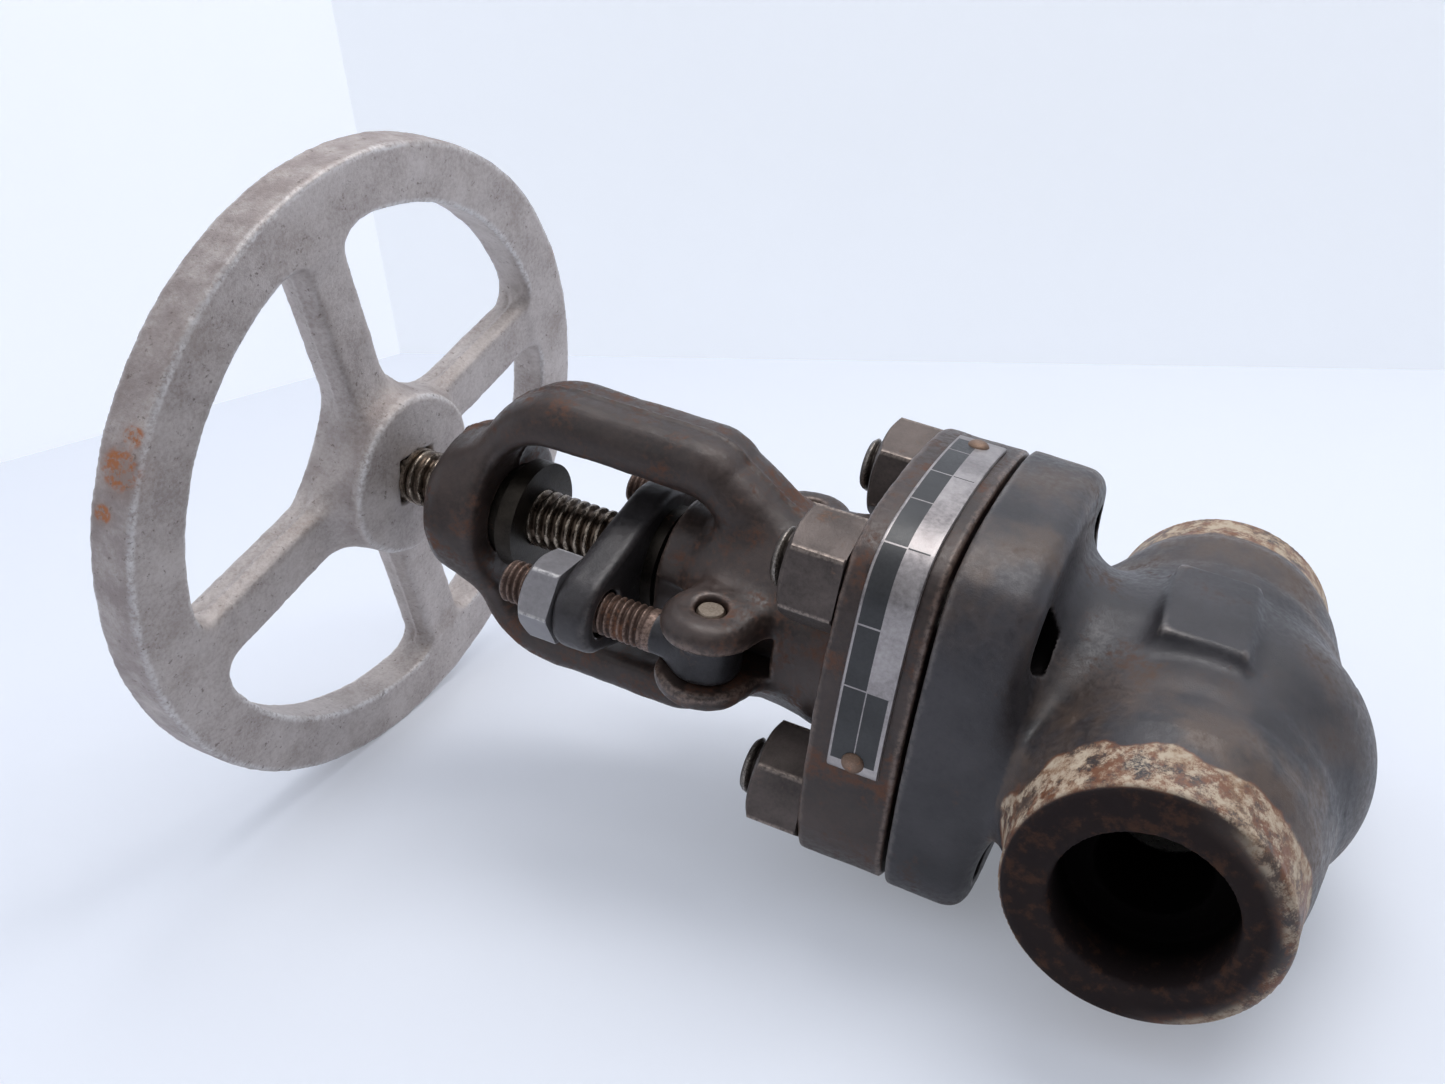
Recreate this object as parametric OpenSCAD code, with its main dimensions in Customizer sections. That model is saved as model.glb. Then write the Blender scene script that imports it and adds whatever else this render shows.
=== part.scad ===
// Bolted-bonnet forged-steel gate valve, 1 inch, socket-weld ends, with an
// outside screw and yoke and a rising handwheel.
//
// Frame: the flow axis is X and the stem axis is Z, and they cross at the
// origin. +Z points from the body to the handwheel. The side pad and the
// nameplate face -Y and -X. The wedge is drawn closed.

/* [Run and sockets] */
// End-to-end length along the flow axis
run_length = 115; // [110:1:130]
// Outside diameter of the socket collars
collar_d = 52.8; // [50:0.1:56]
// Diameter of the machined collar face, inside its chamfer
collar_face_d = 50; // [48:0.1:50]
// Length of each socket collar
collar_length = 12; // [10:0.5:14]
// Socket bore, which takes a pipe of 33.4
socket_d = 33.8; // [33.6:0.1:34.4]
// Depth of each socket
socket_depth = 13; // [12:0.5:14]
// Flow port behind the sockets
port_d = 22; // [18:1:24]

/* [Body] */
// Radius of the round belly under the neck
belly_r = 33; // [32:0.5:34.5]
// Radius of the neck between the belly and the flange
neck_r = 31; // [28:0.5:33]
// Height of the underside of the body flange
body_flange_z = 32.5; // [31:0.5:34]
// Height of the joint between the body and the bonnet
joint_z = 51; // [50:0.5:52]
// Gap left by the gasket
joint_gap = 1; // [0.8:0.1:1.4]
// Half width of the flanges along the flow axis
flange_half_x = 40.5; // [39.5:0.5:43]
// Half width of the flanges across the flow axis
flange_half_y = 44; // [43:0.5:46]
// Radius that rounds the flange corners, measured from the stem axis
flange_corner_r = 50.5; // [49:0.5:52]
// Radius of the bulge of each flange side
flange_side_r = 150; // [120:10:200]

/* [Bonnet and yoke] */
// Height of the top face of the bonnet flange
bonnet_flange_z = 71; // [70:0.5:72]
// Distance of the studs from the stem axis, along the flow axis
stud_x = 25.5; // [25:0.25:26.5]
// Distance of the studs from the stem axis, across the flow axis
stud_y = 27; // [26:0.25:27.5]
// Radius of the stuffing box
box_r = 17; // [16:0.5:18]
// Height of the top of the stuffing box
box_top_z = 119.3; // [117:0.1:120]
// Outside half width of the yoke, across the flow axis
yoke_half_y = 35.5; // [34:0.5:38]
// Thickness of the yoke arms
arm_thickness = 11.5; // [10:0.5:14]
// Width of the yoke arms, along the flow axis
arm_width = 22; // [18:1:26]
// Height of the inside face of the yoke head
head_bottom_z = 165; // [163:0.5:167]
// Height of the top face of the yoke head boss
head_top_z = 180; // [179:0.5:182]
// Radius of the yoke head boss
head_r = 18; // [17:0.5:20]
// Height of the eyebolt pins
ear_z = 100; // [98:0.5:102]
// Distance of the eyebolts from the stem axis
eyebolt_x = 27.5; // [27:0.5:29]
// Outer radius of the ears around the pins
ear_r = 10.5; // [10:0.5:12.5]
// Distance between the outer faces of a pair of ears
ear_span = 21; // [19:0.5:24]

/* [Stem and wedge] */
// Diameter of the stem
stem_d = 14; // [13:0.1:14.4]
// Diameter of the seat rings
seat_d = 30; // [28:1:32]
// Distance from the stem axis to the middle of each seat face
seat_x = 9; // [8:0.5:10]
// Angle of each seat face
seat_angle = 5; // [3:0.5:5]
// Height of the top of the stem
stem_top_z = 219; // [218.5:0.5:222]

/* [Handwheel] */
// Outside diameter of the handwheel
wheel_d = 158; // [150:1:165]
// Width of the rim, seen along the stem
rim_width = 14.2; // [12:0.2:16]
// Height of the rim's face nearer the yoke
rim_bottom_z = 199.2; // [198:0.2:202]
// Thickness of the rim
rim_thickness = 10.3; // [9:0.1:12]
// Height of the hub's face nearer the yoke
hub_bottom_z = 193.2; // [192.5:0.1:196]
// Height of the hub's face at the nut
hub_top_z = 209.5; // [208:0.5:212]
// Radius of the hub
hub_r = 20.7; // [18:0.1:22]
// Number of spokes
spokes = 4; // [3:1:6]
// Width of each spoke
spoke_width = 13.5; // [11:0.5:16]
// Thickness of each spoke
spoke_thickness = 9; // [7:0.5:10]
// Angle of the first spoke from +X
spoke_angle = 71; // [0:1:90]

/* [Hidden] */
$fn = 64;

eps = 0.01;             // lets a cut run past a face
run_half = run_length / 2;
stem_r = stem_d / 2;
stud_r = 6.35;          // half inch studs
stud_bottom_z = 42;
stud_top_z = 87.2;
stud_nut_flats = 22.2;
stud_nut_height = 12.3;
eye_stud_r = 4.76;      // three-eighths eyebolts
gland_nut_flats = 17.5;
gland_nut_height = 7.6;
gland_nut_angle = 30;           // turn of the gland nuts about their bolts
packing_r = stem_r + 4.8;       // bore of the stuffing box
packing_bottom_z = 82;
packing_top_z = 104;
gland_flange_z = 124;
gland_flange_top_z = 133;
gland_nut_z = gland_flange_top_z + 0.1;
eyebolt_top_z = 148.4;
eye_r = 7.8;
eye_thickness = 9.2;
ear_gap = 10;                   // slot between a pair of ears
bushing_r = 11;
bushing_collar_r = 13.4;
bushing_bottom_z = 157.8;
cavity_r = 20.5;                // chamber that the wedge moves in
square_half = 5.6;              // half width of the stem's square end
square_z = hub_bottom_z;
stem_end_r = 5;

leg_half_y = 22;                // half width of the yoke root
window_half_y = yoke_half_y - arm_thickness;
window_bottom_z = 107;
waist_r = 31.5;                 // run outside the wedge chamber
waist_half_y = 29.7;            // the middle of the body is flattened on both sides
belly_z = -5.5;
shoulder_r = 29.3;
shoulder_x = 38;
waist_x = 24;
flange_root = 3.5;             // fillet under the body flange
body_flange_grow = 0.7;
pad_half_x = 15;
pad_y = 32;
pad_z0 = -5;
pad_height = 17.5;
chamber_bottom_z = -20;
rib_half_x = 3;
rib_y = 14.8;
rib_top_z = 47;
seat_back_x = 25;
gasket_r = 25;
gasket_bottom_z = 49.5;
gasket_top_z = 52.5;
wedge_r = 17;
wedge_head_half_x = 9.5;
wedge_head_half_y = 11;
wedge_head_z = 8;
wedge_top_z = 24;
slot_half_x = 12;
slide_gap = 0.2;                // clearance of the parts that slide in the wedge
stem_head_r = 7.4;
stem_head_z = 14.6;
stem_head_height = 4;
stem_neck_r = 4.8;
stem_neck_top_z = 27;
backseat_collar_r = 9;          // collar that seals the stem when the valve is open
backseat_collar_z = 30;
collar_space_r = 12.5;
pin_r = 3.05;
pin_length = 20.4;
bushing_seat_z = 59;            // backseat bushing's lower face
backseat_height = 7;
backseat_r = 11;
bushing_pin_r = 2;
packing_count = 5;
nut_angle = 12;                 // turn of the nuts about their studs
gland_flange_r = 18;
gland_lug_r = 9.5;
wheel_r = wheel_d / 2;
rim_top_z = rim_bottom_z + rim_thickness;
rim_edge = 1.5;                 // chamfer around the rim
spoke_mid_z = 204.5;
washer_r = 11;
washer_top_z = hub_top_z + 1.5;
wheel_nut_flats = 17;
wheel_nut_height = 6.5;
plate_z0 = 55;
plate_z1 = 66;
plate_mid_z = (plate_z0 + plate_z1) / 2;
plate_thickness = 0.8;
plate_end_x = 20;
plate_end_y = 7;
plate_far = 60;                 // beyond the flange on the plate's side
plate_pin_r = 1.2;

function hex_r(flats) = flats / sqrt(3);

// Outline shared by both flanges: four bulged sides and round corners
module flange_outline(grow = 0) {
    intersection() {
        circle(r = flange_corner_r + grow, $fn = 96);
        intersection_for (side = [-1, 1]) intersection() {
            translate([side * (flange_half_x - flange_side_r), 0])
                circle(r = flange_side_r + grow, $fn = 180);
            translate([0, side * (flange_half_y - flange_side_r)])
                circle(r = flange_side_r + grow, $fn = 180);
        }
    }
}

// Places its children at the four studs
module at_studs() {
    for (x = [-1, 1], y = [-1, 1])
        translate([x * stud_x, y * stud_y, 0]) children();
}

// Cylinder along X, from x0 to x1
module rod_x(x0, x1, r) {
    translate([x0, 0, 0]) rotate([0, 90, 0]) cylinder(h = x1 - x0, r = r);
}

// Cylinder along Y, centred on y = 0
module rod_y(length, r) {
    rotate([90, 0, 0]) cylinder(h = length, r = r, center = true);
}

// Hexagonal nut with its lower face at z = 0, chamfered at the top corners
module hex_nut(flats, height, hole_r) {
    difference() {
        intersection() {
            cylinder(h = height, r = hex_r(flats), $fn = 6);
            union() {
                cylinder(h = height - flats * 0.07, r = flats * 0.6);
                translate([0, 0, height - flats * 0.07])
                    cylinder(h = flats * 0.07, r1 = flats * 0.6, r2 = flats * 0.49);
            }
        }
        translate([0, 0, -eps]) cylinder(h = height + 2 * eps, r = hole_r);
    }
}

// Points of an arc in a plane, from angle a0 to a1
function arc(cx, cy, r, a0, a1, steps = 8) =
    [for (i = [0:steps]) let (a = a0 + (a1 - a0) * i / steps)
        [cx + r * cos(a), cy + r * sin(a)]];

// Outer profile of one side of the yoke, in the Y-Z plane
function yoke_outer() = concat(
    [[0, bonnet_flange_z - 2], [leg_half_y, bonnet_flange_z - 2], [leg_half_y, 92]],
    arc(yoke_half_y - 12, 116, 12, -50, 0, 5),
    arc(yoke_half_y - 24, 150, 24, 0, 66),
    [[head_r - 1, 175], [0, 175]]);

// Profile of one side of the window, in the Y-Z plane
function window_outline() = concat(
    [[0, window_bottom_z]],
    arc(window_half_y - 10, window_bottom_z + 10, 10, -90, 0, 6),
    arc(window_half_y - 14, head_bottom_z - 14, 14, 0, 90, 6),
    [[0, head_bottom_z]]);

// Extrudes its 2D child, drawn in the Y-Z plane, along X about x = 0
module plate_x(width) {
    rotate([90, 0, 90]) linear_extrude(height = width, center = true) children();
}

// Draws its children on both sides of the plane y = 0
module both_y() {
    children();
    mirror([0, 1, 0]) children();
}

// Draws its children on both sides of the plane x = 0
module both_x() {
    children();
    mirror([1, 0, 0]) children();
}

module body_outside() {
    rotate([0, 90, 0]) rotate_extrude() polygon([
        [0, -run_half], [collar_face_d / 2, -run_half],
        [collar_d / 2, -run_half + 1.4], [collar_d / 2, -run_half + 3],
        [collar_d / 2 + 1, -run_half + collar_length], [shoulder_r, -shoulder_x],
        [shoulder_r, shoulder_x], [collar_d / 2 + 1, run_half - collar_length],
        [collar_d / 2, run_half - 3], [collar_d / 2, run_half - 1.4],
        [collar_face_d / 2, run_half], [0, run_half]]);
    intersection() {
        union() {
            rotate([0, 90, 0]) rotate_extrude() polygon([
                [0, -shoulder_x], [shoulder_r, -shoulder_x], [waist_r, -waist_x],
                [waist_r + 1, 0], [waist_r, waist_x], [shoulder_r, shoulder_x],
                [0, shoulder_x]]);
            translate([0, 0, belly_z]) sphere(r = belly_r);
            cylinder(h = body_flange_z + 2, r = neck_r);
        }
        cube([run_length, 2 * waist_half_y, 4 * belly_r], center = true);
    }
    translate([0, 0, body_flange_z - 5])
        cylinder(h = 6, r1 = neck_r - eps, r2 = neck_r + flange_root);
    translate([0, 0, body_flange_z])
        linear_extrude(height = joint_z - joint_gap / 2 - body_flange_z)
            flange_outline(body_flange_grow);
    translate([-pad_half_x, -pad_y, pad_z0]) cube([2 * pad_half_x, 14, pad_height]);
}

module body() {
    color("dimgray") difference() {
        union() {
            difference() {
                body_outside();
                // chamber for the wedge, open to the bonnet
                translate([0, 0, chamber_bottom_z])
                    cylinder(h = joint_z - chamber_bottom_z, r = cavity_r);
            }
            // ribs that guide the wedge
            both_y() translate([-rib_half_x, rib_y, chamber_bottom_z - 1])
                cube([2 * rib_half_x, cavity_r - rib_y + 2,
                    rib_top_z + 1 - chamber_bottom_z]);
        }
        rod_x(-run_half - eps, run_half + eps, port_d / 2);
        both_x() {
            rod_x(run_half - socket_depth, run_half + eps, socket_d / 2);
            rod_x(seat_x, seat_back_x, seat_d / 2);
        }
        at_studs() translate([0, 0, body_flange_z - eps])
            cylinder(h = joint_z - body_flange_z, r = stud_r);
        // recess for the gasket
        translate([0, 0, gasket_bottom_z])
            cylinder(h = joint_z - gasket_bottom_z, r = gasket_r + 0.3);
    }
}

// Seat ring on the +X side, with its sloping face towards the wedge
module seat_ring() {
    difference() {
        rod_x(seat_x - 4, seat_back_x, seat_d / 2);
        rod_x(0, run_half, port_d / 2);
        translate([seat_x, 0, 0]) rotate([0, seat_angle, 0])
            translate([-20, -seat_d, -seat_d]) cube([20, 2 * seat_d, 2 * seat_d]);
    }
}

module seat_ring_inlet() {
    color("lightgray") mirror([1, 0, 0]) seat_ring();
}

module seat_ring_outlet() {
    color("lightgray") seat_ring();
}

module wedge() {
    color("silver") difference() {
        union() {
            difference() {
                rod_x(-wedge_r, wedge_r, wedge_r);
                both_x() translate([seat_x - 0.1, 0, 0]) rotate([0, seat_angle, 0])
                    translate([0, -wedge_r * 2, -wedge_r * 2])
                        cube([wedge_r, wedge_r * 4, wedge_r * 4]);
            }
            translate([-wedge_head_half_x, -wedge_head_half_y, wedge_head_z])
                cube([2 * wedge_head_half_x, 2 * wedge_head_half_y, wedge_top_z - wedge_head_z]);
        }
        // slot for the head and neck of the stem
        translate([-slot_half_x, -stem_head_r - slide_gap, stem_head_z - slide_gap])
            cube([2 * slot_half_x, 2 * (stem_head_r + slide_gap),
                stem_head_height + 2 * slide_gap]);
        translate([-slot_half_x, -stem_neck_r - slide_gap, stem_head_z])
            cube([2 * slot_half_x, 2 * (stem_neck_r + slide_gap), slot_half_x]);
        // grooves for the guide ribs
        both_y() translate([-rib_half_x - slide_gap, rib_y - slide_gap, -wedge_r - 1])
            cube([2 * (rib_half_x + slide_gap), 6, 2 * wedge_r + 10]);
    }
}

module stem() {
    color("tan") {
        rotate_extrude() polygon([
            [0, stem_head_z], [stem_head_r, stem_head_z],
            [stem_head_r, stem_head_z + stem_head_height],
            [stem_neck_r, stem_head_z + stem_head_height],
            [stem_neck_r, stem_neck_top_z], [backseat_collar_r, backseat_collar_z],
            [backseat_collar_r, backseat_collar_z + 1.5], [stem_r, backseat_collar_z + 3.5],
            [stem_r, square_z], [0, square_z]]);
        intersection() {
            cylinder(h = hub_top_z - 0.5, r = stem_r);
            translate([-square_half, -square_half, square_z - 1])
                cube([2 * square_half, 2 * square_half, hub_top_z - square_z + 2]);
        }
        cylinder_from(hub_top_z - 1, stem_top_z - 1, stem_end_r);
        translate([0, 0, stem_top_z - 1]) cylinder(h = 1, r1 = stem_end_r, r2 = stem_end_r - 0.8);
    }
}

// Places its children on the pin of the yoke bushing, with +Z along -Y
module at_bushing_pin() {
    rotate([90, 0, 0]) translate([0, head_bottom_z + 10, head_r - 9]) children();
}

// One pair of ears for an eyebolt, on the +X side
module ears() {
    difference() {
        union() {
            translate([eyebolt_x, 0, ear_z]) rod_y(ear_span, ear_r);
            translate([8, -ear_span / 2, ear_z - ear_r])
                cube([eyebolt_x - 8, ear_span, 2 * ear_r - 4]);
            translate([8, -ear_span / 2, bonnet_flange_z]) cube([14, ear_span, 20]);
        }
        translate([box_r - 1, -ear_gap / 2, ear_z - ear_r - 1])
            cube([ear_r + eyebolt_x, ear_gap, 3 * ear_r]);
        translate([eyebolt_x, 0, ear_z]) rod_y(ear_span + 1, pin_r);
    }
}

module bonnet_yoke() {
    color("dimgray") difference() {
        union() {
            translate([0, 0, joint_z + joint_gap / 2])
                linear_extrude(height = bonnet_flange_z - joint_z - joint_gap / 2)
                    flange_outline();
            // neck that narrows to the stuffing box
            translate([0, 0, bonnet_flange_z - 1]) cylinder(h = 12, r1 = 27, r2 = 22);
            translate([0, 0, bonnet_flange_z + 10]) cylinder(h = 18, r1 = 22.2, r2 = 18);
            cylinder_from(bonnet_flange_z, box_top_z, box_r);
            difference() {
                both_y() plate_x(arm_width) polygon(yoke_outer());
                both_y() plate_x(arm_width + 1) polygon(window_outline());
            }
            cylinder_from(head_bottom_z - 3, head_top_z - 2, head_r);
            translate([0, 0, head_top_z - 2.01])
                cylinder(h = 2.01, r1 = head_r - eps, r2 = head_r - 2.5);
            both_x() ears();
        }
        // space for the backseat collar of the stem when the valve is open
        cylinder_from(joint_z, bushing_seat_z, collar_space_r);
        cylinder_from(bushing_seat_z - 1, bushing_seat_z + backseat_height, backseat_r);
        cylinder_from(bushing_seat_z, packing_bottom_z + 1, stem_r + 0.6);
        cylinder_from(packing_bottom_z, box_top_z + 1, packing_r);
        cylinder_from(head_bottom_z - 8, head_top_z + 1, bushing_r);
        cylinder_from(joint_z, gasket_top_z, gasket_r + 0.3);
        at_studs() cylinder_from(joint_z, bonnet_flange_z + 1, stud_r + 0.4);
        // seats for the nuts, where the neck reaches under them
        at_studs() cylinder_from(bonnet_flange_z, bonnet_flange_z + 17,
            hex_r(stud_nut_flats) + 0.8);
        nameplate_pin_holes();
        at_bushing_pin() cylinder(h = 12, r = bushing_pin_r);
    }
}

// Cylinder on the stem axis between two heights
module cylinder_from(z0, z1, r) {
    translate([0, 0, z0]) cylinder(h = z1 - z0, r = r);
}

// Ring on the stem axis
module ring(z0, z1, outer_r, inner_r) {
    difference() {
        cylinder_from(z0, z1, outer_r);
        cylinder_from(z0 - 1, z1 + 1, inner_r);
    }
}

module bonnet_gasket() {
    color("gray") ring(gasket_bottom_z, gasket_top_z, gasket_r, cavity_r + 0.5);
}

module bonnet_studs() {
    color("saddlebrown") at_studs() {
        cylinder_from(stud_bottom_z, stud_top_z - 1, stud_r);
        translate([0, 0, stud_top_z - 1 - eps])
            cylinder(h = 1, r1 = stud_r - eps, r2 = stud_r - 1);
    }
}

module bonnet_nuts() {
    color("sienna") at_studs() translate([0, 0, bonnet_flange_z])
        rotate([0, 0, nut_angle]) hex_nut(stud_nut_flats, stud_nut_height, stud_r);
}

module backseat_bushing() {
    color("lightgray") difference() {
        cylinder_from(bushing_seat_z, bushing_seat_z + backseat_height, backseat_r);
        cylinder_from(bushing_seat_z - 1, bushing_seat_z + backseat_height + 1, stem_r + 0.1);
        translate([0, 0, bushing_seat_z - eps])
            cylinder(h = 2.5, r1 = backseat_collar_r + 0.5, r2 = stem_r);
    }
}

module packing_washer() {
    color("silver") ring(packing_bottom_z, packing_bottom_z + 2, packing_r - 0.1, stem_r + 0.2);
}

module packing_rings() {
    height = (packing_top_z - packing_bottom_z - 2) / packing_count;
    color("black") for (i = [0:packing_count - 1])
        translate([0, 0, packing_bottom_z + 2 + i * height])
            ring(0.05, height - 0.05, packing_r - 0.05, stem_r + 0.08);
}

module gland() {
    color("gray") difference() {
        union() {
            cylinder_from(packing_top_z + 0.1, gland_flange_z - 1, packing_r - 0.3);
            cylinder_from(box_top_z + 2, gland_flange_z, packing_r + 1.6);
        }
        cylinder_from(packing_top_z, gland_flange_z + 1, stem_r + 0.3);
    }
}

module gland_flange() {
    color("dimgray") difference() {
        translate([0, 0, gland_flange_z])
            linear_extrude(height = gland_flange_top_z - gland_flange_z)
                hull() {
                    circle(r = gland_flange_r, $fn = 48);
                    both_x() translate([eyebolt_x, 0]) circle(r = gland_lug_r, $fn = 32);
                }
        cylinder_from(gland_flange_z - 1, gland_flange_top_z + 1, stem_r + 1);
        both_x() translate([eyebolt_x, 0, gland_flange_z - 1])
            cylinder(h = 12, r = eye_stud_r + 0.6);
    }
}

// Eyebolt on the +X side
module eyebolt() {
    difference() {
        union() {
            translate([eyebolt_x, 0, ear_z]) rod_y(eye_thickness, eye_r);
            translate([eyebolt_x, 0, ear_z]) cylinder(h = eyebolt_top_z - ear_z - 1, r = eye_stud_r);
            translate([eyebolt_x, 0, eyebolt_top_z - 1])
                cylinder(h = 1, r1 = eye_stud_r, r2 = eye_stud_r - 0.8);
        }
        translate([eyebolt_x, 0, ear_z]) rod_y(eye_thickness + 1, pin_r);
    }
}

module eyebolt_inlet() {
    color("saddlebrown") mirror([1, 0, 0]) eyebolt();
}

module eyebolt_outlet() {
    color("saddlebrown") eyebolt();
}

module eyebolt_pin_inlet() {
    color("gray") translate([-eyebolt_x, 0, ear_z]) rod_y(pin_length, pin_r);
}

module eyebolt_pin_outlet() {
    color("gray") translate([eyebolt_x, 0, ear_z]) rod_y(pin_length, pin_r);
}

module gland_nut_inlet() {
    color("silver") translate([-eyebolt_x, 0, gland_nut_z])
        rotate([0, 0, gland_nut_angle]) hex_nut(gland_nut_flats, gland_nut_height, eye_stud_r + 0.05);
}

module gland_nut_outlet() {
    color("silver") translate([eyebolt_x, 0, gland_nut_z])
        rotate([0, 0, gland_nut_angle]) hex_nut(gland_nut_flats, gland_nut_height, eye_stud_r + 0.05);
}

module yoke_bushing() {
    color("gray") difference() {
        union() {
            cylinder_from(bushing_bottom_z + 1, head_top_z - 0.5, bushing_r);
            cylinder_from(bushing_bottom_z, head_bottom_z - 3, bushing_collar_r);
        }
        cylinder_from(bushing_bottom_z - 1, head_top_z, stem_r + 0.05);
        at_bushing_pin() cylinder(h = 3, r = bushing_pin_r);
    }
}

module yoke_bushing_pin() {
    color("gray") at_bushing_pin() cylinder(h = 8.6, r = bushing_pin_r);
}

module handwheel() {
    color("rosybrown") difference() {
        union() {
            rotate_extrude($fn = 128) polygon([
                [wheel_r - rim_width, rim_bottom_z + rim_edge],
                [wheel_r - rim_width + rim_edge, rim_bottom_z],
                [wheel_r - rim_edge, rim_bottom_z], [wheel_r, rim_bottom_z + rim_edge],
                [wheel_r, rim_top_z - rim_edge], [wheel_r - rim_edge, rim_top_z],
                [wheel_r - rim_width + rim_edge, rim_top_z],
                [wheel_r - rim_width, rim_top_z - rim_edge]]);
            translate([0, 0, hub_bottom_z])
                cylinder(h = hub_top_z - hub_bottom_z, r1 = hub_r, r2 = hub_r - 1.2);
            for (i = [0:spokes - 1]) rotate([0, 0, spoke_angle + 360 / spokes * i])
                translate([0, -spoke_width / 2, spoke_mid_z - spoke_thickness / 2])
                    cube([wheel_r - rim_width / 2, spoke_width, spoke_thickness]);
        }
        translate([-square_half - 0.05, -square_half - 0.05, hub_bottom_z - 1])
            cube([2 * square_half + 0.1, 2 * square_half + 0.1, hub_top_z]);
    }
}

module handwheel_washer() {
    color("silver") ring(hub_top_z + 0.02, washer_top_z, washer_r, stem_end_r + 0.1);
}

module handwheel_nut() {
    color("silver") translate([0, 0, washer_top_z])
        hex_nut(wheel_nut_flats, wheel_nut_height, stem_end_r);
}

// Flange outline of a given growth, extruded between the plate's two edges
module plate_band(grow) {
    translate([0, 0, plate_z0]) linear_extrude(height = plate_z1 - plate_z0)
        flange_outline(grow);
}

module nameplate() {
    color("silver") difference() {
        intersection() {
            difference() {
                plate_band(plate_thickness);
                plate_band(0);
            }
            translate([-plate_far, -plate_far, plate_z0 - 1])
                cube([plate_far + plate_end_x, plate_far + plate_end_y, 20]);
        }
        nameplate_pin_holes();
    }
}

// Places its children at the two drive pins, with +Z along the pin, outwards
module at_nameplate_pins() {
    translate([-flange_half_x, plate_end_y - 3, plate_mid_z]) rotate([0, -90, 0]) children();
    translate([plate_end_x - 5, -flange_half_y, plate_mid_z]) rotate([90, 0, 0]) children();
}

module nameplate_pin_holes() {
    at_nameplate_pins() translate([0, 0, -6]) cylinder(h = 9, r = plate_pin_r);
}

module nameplate_pins() {
    color("gray") at_nameplate_pins() {
        translate([0, 0, -5]) cylinder(h = 5 + plate_thickness, r = plate_pin_r);
        translate([0, 0, plate_thickness]) cylinder(h = 1.1, r1 = 2.4, r2 = 1.6);
    }
}

body();
seat_ring_inlet();
seat_ring_outlet();
wedge();
stem();
bonnet_yoke();
bonnet_gasket();
bonnet_studs();
bonnet_nuts();
backseat_bushing();
packing_washer();
packing_rings();
gland();
gland_flange();
eyebolt_inlet();
eyebolt_outlet();
eyebolt_pin_inlet();
eyebolt_pin_outlet();
gland_nut_inlet();
gland_nut_outlet();
yoke_bushing();
yoke_bushing_pin();
handwheel();
handwheel_washer();
handwheel_nut();
nameplate();
nameplate_pins();
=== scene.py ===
"""Looks of the gate valve: forged body and bonnet, cast handwheel, threads, nuts and nameplate.

Lengths are in millimetres in the helpers that build meshes, and to_mesh() turns them into metres.
Forgings and castings fill the boxes of their CAD nodes, and other places are those of part.scad.
"""
import math

import bpy
import numpy as np
from mathutils import Matrix, Vector, noise


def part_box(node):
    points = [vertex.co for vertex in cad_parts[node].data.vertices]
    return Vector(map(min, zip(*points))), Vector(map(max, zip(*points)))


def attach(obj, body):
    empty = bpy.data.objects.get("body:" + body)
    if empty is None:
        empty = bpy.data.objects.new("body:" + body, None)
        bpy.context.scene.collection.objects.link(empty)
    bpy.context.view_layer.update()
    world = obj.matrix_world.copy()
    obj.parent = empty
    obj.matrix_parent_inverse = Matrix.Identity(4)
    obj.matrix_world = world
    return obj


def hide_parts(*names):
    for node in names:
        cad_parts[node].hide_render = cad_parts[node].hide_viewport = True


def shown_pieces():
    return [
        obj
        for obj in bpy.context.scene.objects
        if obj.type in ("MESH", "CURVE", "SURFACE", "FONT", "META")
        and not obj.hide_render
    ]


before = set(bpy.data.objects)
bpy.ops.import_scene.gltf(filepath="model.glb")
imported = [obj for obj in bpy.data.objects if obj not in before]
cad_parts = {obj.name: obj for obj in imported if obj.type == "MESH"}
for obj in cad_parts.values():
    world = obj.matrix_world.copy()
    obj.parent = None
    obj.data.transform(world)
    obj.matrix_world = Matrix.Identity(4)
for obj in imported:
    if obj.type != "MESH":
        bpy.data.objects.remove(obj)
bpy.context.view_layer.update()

MM = 0.001
TURN = 2 * math.pi
EDGE_GAIN = 4  # turns the bend of a surface into wear, and into dirt and painted shade in hollows
CAP_SHARES = (0.7, 0.35)  # radii of the rings that close an end of a turned solid
CAP_WEAR = 0.6


def add_object(name, data):
    item = bpy.data.objects.new(name, data)
    bpy.context.scene.collection.objects.link(item)
    return item


def node_box(node):
    """Lowest and highest corner of a CAD node, in millimetres."""
    low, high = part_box(node)
    return np.array(low) / MM, np.array(high) / MM


# ---- camera

CAMERA_PLACE = (-0.2363, -0.1571, 0.0121)
CAMERA_RIGHT = (0.3401, -0.1609, -0.9265)
CAMERA_UP = (0.4224, -0.8541, 0.3033)
CAMERA_BACK = (-0.8402, -0.4946, -0.2226)
CAMERA_LENS = 32.02
CAMERA_SHIFT = (-0.1054, 0.0112)


def make_camera():
    data = bpy.data.cameras.new("camera")
    data.sensor_width = 36
    data.lens = CAMERA_LENS
    data.shift_x, data.shift_y = CAMERA_SHIFT
    data.clip_start = 0.01
    camera = add_object("camera", data)
    turn = Matrix((CAMERA_RIGHT, CAMERA_UP, CAMERA_BACK)).transposed()
    camera.matrix_world = Matrix.Translation(CAMERA_PLACE) @ turn.to_4x4()
    bpy.context.scene.camera = camera


make_camera()


# ---- signed distances

def grid(low, high, step):
    """Sparse coordinate arrays that cover a box with two spare cells on each side."""
    axes = [np.arange(a - 2 * step, b + 3 * step, step, dtype=np.float32) for a, b in zip(low, high)]
    return np.meshgrid(*axes, indexing="ij", sparse=True)


def join(a, b, k=0.0):
    """Union with a fillet of about k."""
    if k <= 0:
        return np.minimum(a, b)
    h = np.clip(k - np.abs(a - b), 0, None) / k
    return np.minimum(a, b) - h * h * k * 0.25


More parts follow.
